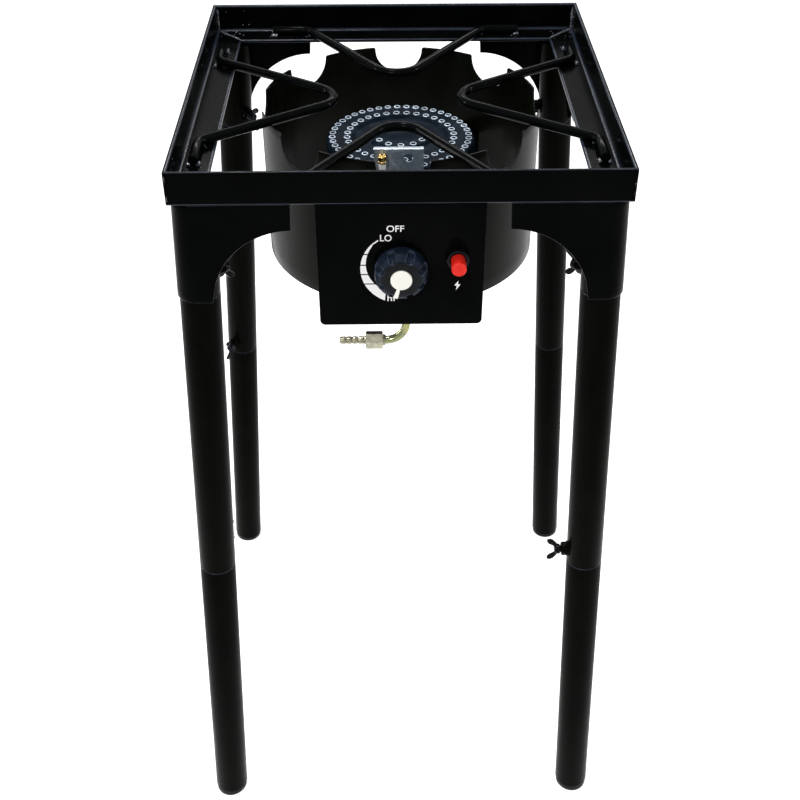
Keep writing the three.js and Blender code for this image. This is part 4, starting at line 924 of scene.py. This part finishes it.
def add_leg(name, sx, sy):
    upper, lower = SCREW_BEARINGS[name]
    top = UNDERSIDE - SEAT - LEG_RADIUS * leg_splay(sx, sy).length
    length = (leg_point(sx, sy, top) - leg_point(sx, sy, SOCKET_FOOT)).length
    at = leg_frame(sx, sy, top, upper)
    bore, end = LEG_RADIUS - LEG_WALL, length - SEAT
    profile = [
        (bore, length - 45 * MM), (bore, end), (LEG_RADIUS, end), (LEG_RADIUS, 0), (bore, 0), (bore, 12 * MM),
    ]
    socket = Shape().add(lathe(eased(profile, 0.5 * MM, 3), 64), at)
    socket.add(weld_nut(length - SCREW_ABOVE_SEAM), at)
    piece(f"{name}_socket_look", socket, "stand", "powder_coat", f"{name}_leg_socket", look="leg_coat")

    for level, high, low in (("middle", SOCKET_FOOT, MIDDLE_FOOT), ("lower", MIDDLE_FOOT, LOWER_END)):
        length = (leg_point(sx, sy, high) - leg_point(sx, sy, low)).length
        at = leg_frame(sx, sy, high, lower)
        if level == "middle":
            shape = leg_shape(length - SEAT, at).add(weld_nut(length - SCREW_ABOVE_SEAM), at)
        else:
            shape = leg_shape(length, at)
        body = f"{name}_{level}_leg"
        piece(f"{body}_look", shape, body, "powder_coat", body, look="leg_coat", extra=("edge_highlight_coat",))

    head = LEG_RADIUS - 0.8 * MM
    plug = [
        (0, -18 * MM), (NECK_RADIUS - 1 * MM, -18 * MM), (NECK_RADIUS, -16 * MM), (NECK_RADIUS, SEAT),
        (head, SEAT), (head, 6 * MM), (head - 0.6 * MM, 14 * MM), (0, 14 * MM),
    ]
    verts, faces = lathe(eased(plug, 0.4 * MM, 3), 64)
    at = leg_frame(sx, sy, LOWER_END, lower)
    placed = [at @ Vector(v) for v in verts]
    on_floor = [Vector((v.x, v.y, max(0.0, v.z))) for v in placed]
    piece(f"{name}_foot_look", (on_floor, faces), f"{name}_lower_leg", "black_plastic", f"{name}_foot_plug")

    for level, seam, compass in (("upper", SOCKET_FOOT, upper), ("lower", MIDDLE_FOOT, lower)):
        at = leg_frame(sx, sy, seam, compass) @ Matrix.Translation((0, 0, -SCREW_ABOVE_SEAM)) @ SIDEWAYS
        body = f"{name}_{level}_wing_screw"
        screw = Shape().add(wing_screw(), at)
        piece(f"{body}_look", screw, body, "powder_coat", body, look="screw_coat")


def add_bracket(name, sx, sy):
    """Sheet wrapped round the socket, its two arms swept up to the rails."""
    top, foot = UNDERSIDE - SEAT, SOCKET_FOOT + SEAT
    reach, end_height, sweep_width = 96 * MM, 25 * MM, 71 * MM
    radius = LEG_RADIUS + SEAT + BRACKET_WALL / 2
    middle = BRACKET_FACE - BRACKET_WALL / 2
    arm = LEG_OFFSET - reach
    steps, rows = 24, 14
    plan = []
    for step in range(steps + 1):
        x = reach + arm * step / steps
        plan.append((Vector((x, middle, 0)), x))
    for step in range(1, steps):
        angle = pi / 2 * (1 - step / steps)
        corner = Vector((LEG_OFFSET + radius * cos(angle), LEG_OFFSET + radius * sin(angle), 0))
        plan.append((corner, None))
    for step in range(steps + 1):
        y = LEG_OFFSET - arm * step / steps
        plan.append((Vector((middle, y, 0)), y))
    lean = leg_splay(1, 1) if sy > 0 else Vector((FRONT_SPLAY, DEPTH_SPLAY, 0))
    verts, faces = [], []
    for point, place in plan:
        low = foot
        if place is not None:
            share = (place - reach) / sweep_width
            if share < 1:
                low = foot + (top - end_height - foot) * sqrt(max(0.0, 1 - share * share))
        for row in range(rows + 1):
            z = top + (low - top) * row / rows
            moved = point + lean * (top - z)
            verts.append(Vector((moved.x * sx, moved.y * sy, z)))
    for i in range(len(plan) - 1):
        for row in range(rows):
            a, b = i * (rows + 1) + row, (i + 1) * (rows + 1) + row
            faces.append([a, b, b + 1, a + 1])
    obj = piece(
        f"{name}_bracket_look", (verts, faces), "stand", "powder_coat", f"{name}_corner_bracket",
        smooth=50, extra=("edge_highlight_coat",),
    )
    make_sheet(obj, BRACKET_WALL)


# ---- controls
def fluted(radius, angle, z):
    """Radius and height of a point of the knob once its eight flutes are cut, each with a raised lip."""
    offset = (angle % (pi / 4)) - pi / 8
    along_side = z + KNOB_SIDE - radius
    beyond = max(0.0, FLUTE_START - along_side, along_side - FLUTE_END)
    reach = hypot(offset * radius, beyond) / FLUTE_HALF
    inward = FLUTE_DEPTH * sqrt(max(0.0, 1 - reach * reach))
    inward -= FLUTE_LIP * exp(-((reach - 1.10) / 0.13) ** 2)
    lean = pi / 2 * min(1.0, max(0.0, (along_side - SHOULDER) / SHOULDER))
    return radius - inward * cos(lean), min(z - inward * sin(lean), 19.3 * MM)


def add_knob():
    rounded = eased(in_mm(
        (13.0, 8.0), (13.0, 2.0), (23.9, 2.0), (24.25, 2.4), (24.25, 7.0), (23.7, 11.0), (22.5, 14.4),
        (20.6, 16.9), (18.0, 18.3), (14.5, 18.9), (11.75, 19.0), (10.05, 19.0), (10.05, 17.8), (0, 17.8),
    ), 0.7 * MM, 4)
    dense = []
    for a, b in zip(rounded, rounded[1:]):
        count = max(1, int(dist(a, b) / (0.7 * MM)))
        dense += [(a[0] + (b[0] - a[0]) * i / count, a[1] + (b[1] - a[1]) * i / count) for i in range(count)]
    dense.append(rounded[-1])
    verts, faces = lathe(dense, 240)
    moved = []
    for x, y, z in verts:
        radius, angle = hypot(x, y), atan2(y, x)
        if radius > 11.9 * MM and z > 3 * MM:
            radius, z = fluted(radius, angle, z)
        moved.append(around(radius, angle, z))
    at = outward(0, AXIS_Z)
    shape = Shape().add((moved, faces), at)
    # the front face takes the darker black plastic, the sides the lighter bluish knob plastic: painted shade
    # on the face, with the sides as if lit from above
    shape.finishes = [int(min(moved[i][2] for i in face) > 18.2 * MM) for face in faces]
    piece("knob_look", shape, "knob", "knob_plastic", "knob", smooth=60, extra=("black_plastic",))

    low, tall = 18.1 * MM, 2.6 * MM
    disc = [(0, low), (9.75 * MM, low), (9.75 * MM, low + tall), (0, low + tall)]
    piece("knob_cap_look", lathe(eased(disc, 0.9 * MM, 5), 96), "knob", "white_plastic", "knob_cap", at)

    # the pointer runs from the cap over the face and down the side
    line = in_mm((9.6, 19.45), (12.0, 19.45), (14.5, 19.35), (18.0, 18.75), (20.8, 17.3), (22.4, 15.2))
    deep = 0.5 * MM
    verts, faces = [], []
    for i, (r, z) in enumerate(line):
        half = (1.5 + 0.75 * i / (len(line) - 1)) * MM
        verts += [(r, -half, z), (r, half, z), (r - deep, half, z - deep), (r - deep, -half, z - deep)]
    for a in range(0, 4 * len(line) - 4, 4):
        faces += [[a + k, a + (k + 1) % 4, a + 4 + (k + 1) % 4, a + 4 + k] for k in range(4)]
    faces += [[0, 1, 2, 3], [len(verts) - 4 + k for k in range(4)]]
    turned = at @ about_z(POINTER_TURN)
    piece("knob_pointer", (verts, faces), "knob", "white_plastic", matrix=turned, bevel=0.12 * MM)


def add_igniter():
    bore, foot, rim = 7.05 * MM, -6 * MM, 5.3 * MM
    profile = [
        (0, -50 * MM), (2.2 * MM, -50 * MM), (2.2 * MM, -44 * MM), (8.2 * MM, -44 * MM), (8.2 * MM, SEAT),
        (10 * MM, SEAT), (10 * MM, rim), (bore, rim), (bore, foot), (0, foot),
    ]
    at = outward(IGNITER_X, IGNITER_Z)
    housing = lathe(eased(profile, 1.0 * MM, 5), 72)
    piece("igniter_housing_look", housing, "stand", "black_plastic", "igniter_housing", at)
    profile = in_mm((0, 0), (6.75, 0), (6.75, 20), (5.4, 20), (5.0, 19.75), (0, 19.85))
    button = lathe(eased(profile, 0.8 * MM, 5), 64)
    piece("igniter_button_look", button, "igniter_button", "red_plastic", "igniter_button", at)


# ---- printing on the panel
def word(name, text, centre, size, matrix):
    """A printed word fitted to a width and height."""
    curve = bpy.data.curves.new(name, "FONT")
    curve.body = text
    curve.size = 1
    curve.offset = WORD_WEIGHT
    maker = put(name + "_maker", curve)
    bpy.context.view_layer.update()
    mesh = bpy.data.meshes.new_from_object(maker)
    bpy.data.objects.remove(maker)
    xs = [v.co.x for v in mesh.vertices]
    ys = [v.co.y for v in mesh.vertices]
    low, high = (min(xs), min(ys)), (max(xs), max(ys))
    verts = []
    for v in mesh.vertices:
        x = centre[0] + ((v.co.x - low[0]) / (high[0] - low[0]) - 0.5) * size[0]
        y = centre[1] + ((v.co.y - low[1]) / (high[1] - low[1]) - 0.5) * size[1]
        verts.append((x * MM, y * MM, PRINT_LIFT))
    faces = [list(p.vertices) for p in mesh.polygons]
    bpy.data.meshes.remove(mesh)
    piece(name, (verts, faces), "stand", "white_plastic", matrix=matrix, look="print_white")


def scale_inner(angle):
    """Inner radius of the dial's scale in millimetres, less and less as the scale goes round."""
    return 34.9 - 0.085 * (degrees(angle) - 137)


def scale_cut(z):
    """Angles at which a level line crosses the outer and the inner edge of the scale."""
    angle = pi
    for _ in range(30):
        angle = pi - asin(max(-1, min(1, z / scale_inner(angle))))
    return pi - asin(z / SCALE_RADIUS), angle


def add_printing():
    at = outward(0, AXIS_Z)
    word("dial_off", "OFF", (-5.0, 41.2), (15.6, 6.4), at)
    word("dial_low", "LO", (-13.4, 31.9), (10.3, 6.6), at)
    word("dial_high", "hi", (-9.1, -31.0), (6.8, 6.4), at)

    cuts = [(radians(134.4), radians(137.0))]
    for z in SCALE_BREAKS:
        cuts += [scale_cut(z + BREAK_HALF), scale_cut(z - BREAK_HALF)]
    cuts.append((radians(246.2), radians(238.5)))
    outlines = []
    steps = 16
    for (out_a, in_a), (out_b, in_b) in zip(cuts[::2], cuts[1::2]):
        edge = []
        for step in range(steps + 1):
            angle = out_a + (out_b - out_a) * step / steps
            edge.append((SCALE_RADIUS * cos(angle), SCALE_RADIUS * sin(angle)))
        for step in range(steps + 1):
            angle = in_b + (in_a - in_b) * step / steps
            edge.append((scale_inner(angle) * cos(angle), scale_inner(angle) * sin(angle)))
        outlines.append(edge)
    outlines.append([(-26.4, 25.6), (-20.6, 30.0), (-19.8, 29.0), (-25.4, 24.8)])
    shape = Shape()
    for outline in outlines:
        count = len(outline) // 2
        verts = [(x * MM, y * MM, PRINT_LIFT) for x, y in outline]
        faces = [[i, i + 1, 2 * count - 2 - i, 2 * count - 1 - i] for i in range(count - 1)]
        shape.add((verts, faces), at)
    piece("dial_scale", shape, "stand", "white_plastic", look="print_white")

    bolt = in_mm((1.1, 5.0), (-2.7, -0.1), (-0.3, -0.1), (-0.9, -5.0), (3.0, 1.2), (0.6, 1.2))
    verts = [(x, y, PRINT_LIFT) for x, y in bolt]
    below = outward(IGNITER_X, HEIGHT - 115 * MM)
    faces = [[0, 1, 2, 5], [2, 3, 4, 5]]
    piece("spark_sign", (verts, faces), "stand", "white_plastic", matrix=below, look="print_white")


# ---- electrode, lead and gas inlet
def add_electrode():
    shelf, top, foot = HEIGHT - 74 * MM, HEIGHT - 55 * MM, HEIGHT - 84 * MM
    bore, body, collar = 1.2 * MM, 3.5 * MM, 4.5 * MM
    tube = [
        (bore, foot), (body, foot), (body, shelf + SEAT), (collar, shelf + SEAT), (collar, shelf + 4 * MM),
        (body, shelf + 5 * MM), (body, top), (bore, top), (bore, foot),
    ]
    at = Matrix.Translation(ELECTRODE)
    ceramic = lathe(eased(tube, 0.5 * MM, 4), 48)
    piece("electrode_ceramic", ceramic, "stand", "ceramic", "electrode_insulator", at, weld=1e-6)
    low, wide = top + SEAT, 4.2 * MM
    profile = [
        (bore, low), (wide, low), (wide, low + 2 * MM), (3.7 * MM, low + 2.5 * MM), (wide, low + 3 * MM),
        (wide, low + 7 * MM), (2.8 * MM, low + 9 * MM), (bore, low + 9 * MM), (bore, low),
    ]
    ferrule = lathe(eased(profile, 0.3 * MM, 3), 48)
    piece("electrode_ferrule_look", ferrule, "stand", "brass", "electrode_ferrule", at, weld=1e-6)
    crest = top + 11.2 * MM
    corners = [ELECTRODE + Vector((0, y, z)) for y, z in ((0, foot + 1 * MM), (0, crest), (4.6 * MM, crest))]
    points, radii = soft_ends(bent_path(corners, [2 * MM]), 1 * MM, 0.2 * MM)
    piece("electrode_pin_look", sweep(points, radii, 20), "stand", "steel", "electrode_pin")


def add_lead():
    x, y = ELECTRODE.x, ELECTRODE.y
    start, low = HEIGHT - 84 * MM - SEAT, AXIS_Z - TUBE_RADIUS - 8 * MM
    aside, under, crossing = x - 7 * MM, -8 * MM, -140 * MM
    end_y = -HALF + 50 * MM + SEAT
    route = [
        (x, y, start), (x, y, start - 3 * MM), (aside, y, start - 12 * MM), (aside, y, low + 11 * MM),
        (under, y, low), (under, crossing, low), (IGNITER_X, crossing, low), (IGNITER_X, crossing, IGNITER_Z),
        (IGNITER_X, end_y, IGNITER_Z),
    ]
    path = bent_path([Vector(p) for p in route], [r * MM for r in (3, 3, 4, 4, 6, 6, 6)], 10)
    piece("igniter_lead_look", sweep(path, 1.4 * MM, 20), "stand", "lead_sleeve", "igniter_lead")
    boot = in_mm((1.3, 0), (2.1, 0), (2.3, 6), (3.1, 7), (3.1, 9.6), (1.3, 9.6))
    at = along((IGNITER_X, end_y + 6.5 * MM, IGNITER_Z), (0, -1, 0))
    piece("igniter_lead_boot", lathe(eased(boot, 0.3 * MM, 3), 32), "stand", "lead_sleeve", matrix=at)


def add_inlet():
    x, nut_length, pitch = 5 * MM, 16.5, 5.6
    places = ((x, AXIS_Z - 18 * MM), (x, PIPE_Z), (NUT_X - 7 * MM, PIPE_Z))
    path = bent_path([Vector((along_x, INLET_Y, z)) for along_x, z in places], [19 * MM], 24)
    piece("inlet_pipe_look", sweep(path, 4 * MM, 40), "stand", "yellow_zinc", "inlet_pipe")
    west = along((NUT_X, INLET_Y, PIPE_Z), (-1, 0, 0))
    nut = Shape().add(hex_bar(15 * MM, nut_length * MM, 0.58), west @ about_z(radians(14)))
    sleeve = in_mm((4.2, -2.6), (4.9, -2.6), (5.6, -0.4), (5.6, 0.4))
    nut.add(lathe(eased(sleeve, 0.4 * MM, 3), 40), west)
    piece("flare_nut_look", nut, "stand", "steel", "flare_nut", smooth=25)
    end = nut_length
    profile = [(1.8, end - 8), (4.0, end - 8), (4.0, end + 1.2), (3.4, end + 1.6)]
    for i in range(4):
        start = end + 2.4 + i * pitch
        low, high = start + pitch - 1.1, start + pitch - 0.2
        profile += [(3.7, start), (3.7, start + pitch - 1.3), (3.1, low), (3.1, high)]
    profile += [(3.3, end + 24.6), (2.7, end + 25), (1.8, end + 25), (1.8, end + 2)]
    barb = lathe(eased(in_mm(*profile), 0.25 * MM, 3), 56)
    piece("hose_barb_look", barb, "stand", "steel", "hose_barb", west)


# ---- stage
def seen_directly(tree):
    """An output that is 1 for camera rays and for mirrored rays, and the light path node."""
    rays = tree.nodes.new("ShaderNodeLightPath")
    return math_node(tree, "MAXIMUM", rays.outputs["Is Camera Ray"], rays.outputs["Is Glossy Ray"]), rays


def add_stage():
    size = 6.0
    mesh = bpy.data.meshes.new("floor")
    corners = [(x * size, y * size, 0) for x, y in ((-1, -1), (1, -1), (1, 1), (-1, 1))]
    mesh.from_pydata(corners, [], [[0, 1, 2, 3]])
    floor = put("floor", mesh)
    floor.location.z = -0.4 * MM
    material, tree, shader = new_nodes("floor")
    shader.inputs["Base Color"].default_value = (0.86, 0.86, 0.86, 1)
    shader.inputs["Roughness"].default_value = 0.9
    shader.inputs["Specular IOR Level"].default_value = 0.1
    glow = math_node(tree, "MULTIPLY", seen_directly(tree)[0], FLOOR_GLOW)
    tree.links.new(glow, shader.inputs["Emission Strength"])
    shader.inputs["Emission Color"].default_value = (1, 1, 1, 1)
    mesh.materials.append(material)


def add_world():
    world = bpy.data.worlds.new("studio")
    world.use_nodes = True
    tree = world.node_tree
    background = tree.nodes["Background"]
    background.inputs["Color"].default_value = (1, 1, 1, 1)
    direct, rays = seen_directly(tree)
    seen = math_node(tree, "MAXIMUM", direct, rays.outputs["Is Transmission Ray"])
    tree.links.new(spread(tree, seen, WORLD_LIGHT, 1.0, 0.0, 1.0), background.inputs["Strength"])
    scene.world = world


def add_lamp(name, place, target, width, height, power):
    data = bpy.data.lights.new(name, "AREA")
    data.shape = "RECTANGLE"
    data.size = width
    data.size_y = height
    data.energy = power
    lamp = put(name, data)
    lamp.location = place
    lamp.rotation_euler = (Vector(target) - Vector(place)).to_track_quat("-Z", "Y").to_euler()


def add_lights():
    middle = (0, 0, 0.6)
    add_lamp("key", (-0.3, 0.25, 2.9), middle, 0.3, 0.3, 28)
    add_lamp("front_fill", (-0.9, -2.0, 2.2), middle, 0.5, 0.5, 26)
    add_lamp("left_strip", (-2.0, 0.3, 1.1), middle, 0.08, 1.6, 24)
    add_lamp("right_strip", (2.0, 0.1, 1.1), middle, 0.08, 1.6, 24)
    add_lamp("back_strip", (0.2, 2.0, 2.2), (0, 0, 0.8), 1.8, 0.12, 18)


# ---- the whole
add_camera()
add_rails()
add_frame_welds()
add_supports()
add_windscreen()
add_cap()
add_burner_body()
refined("burner_crossbar", "stand", "powder_coat", 0.5 * MM)
refined("burner_bolt", "stand", "steel", 0.4 * MM)
refined("front_tab_screw", "stand", "steel", 0.3 * MM)
refined("back_tab_screw", "stand", "steel", 0.3 * MM)
refined("air_shutter", "air_shutter", "zinc_plate", 0.25 * MM)
for corner, (corner_x, corner_y) in CORNERS.items():
    add_leg(corner, corner_x, corner_y)
    add_bracket(corner, corner_x, corner_y)
refined("control_panel", "stand", "powder_coat", 0.55 * MM)
refined("valve_body", "stand", "brass", 0.4 * MM)
refined("valve_stem", "knob", "brass", 0.3 * MM)
refined("gas_nozzle", "stand", "brass", 0.3 * MM)
add_knob()
add_igniter()
add_printing()
refined("igniter_bracket", "stand", "zinc_plate", 0.45 * MM)
add_electrode()
add_lead()
add_inlet()
add_stage()
add_world()
add_lights()
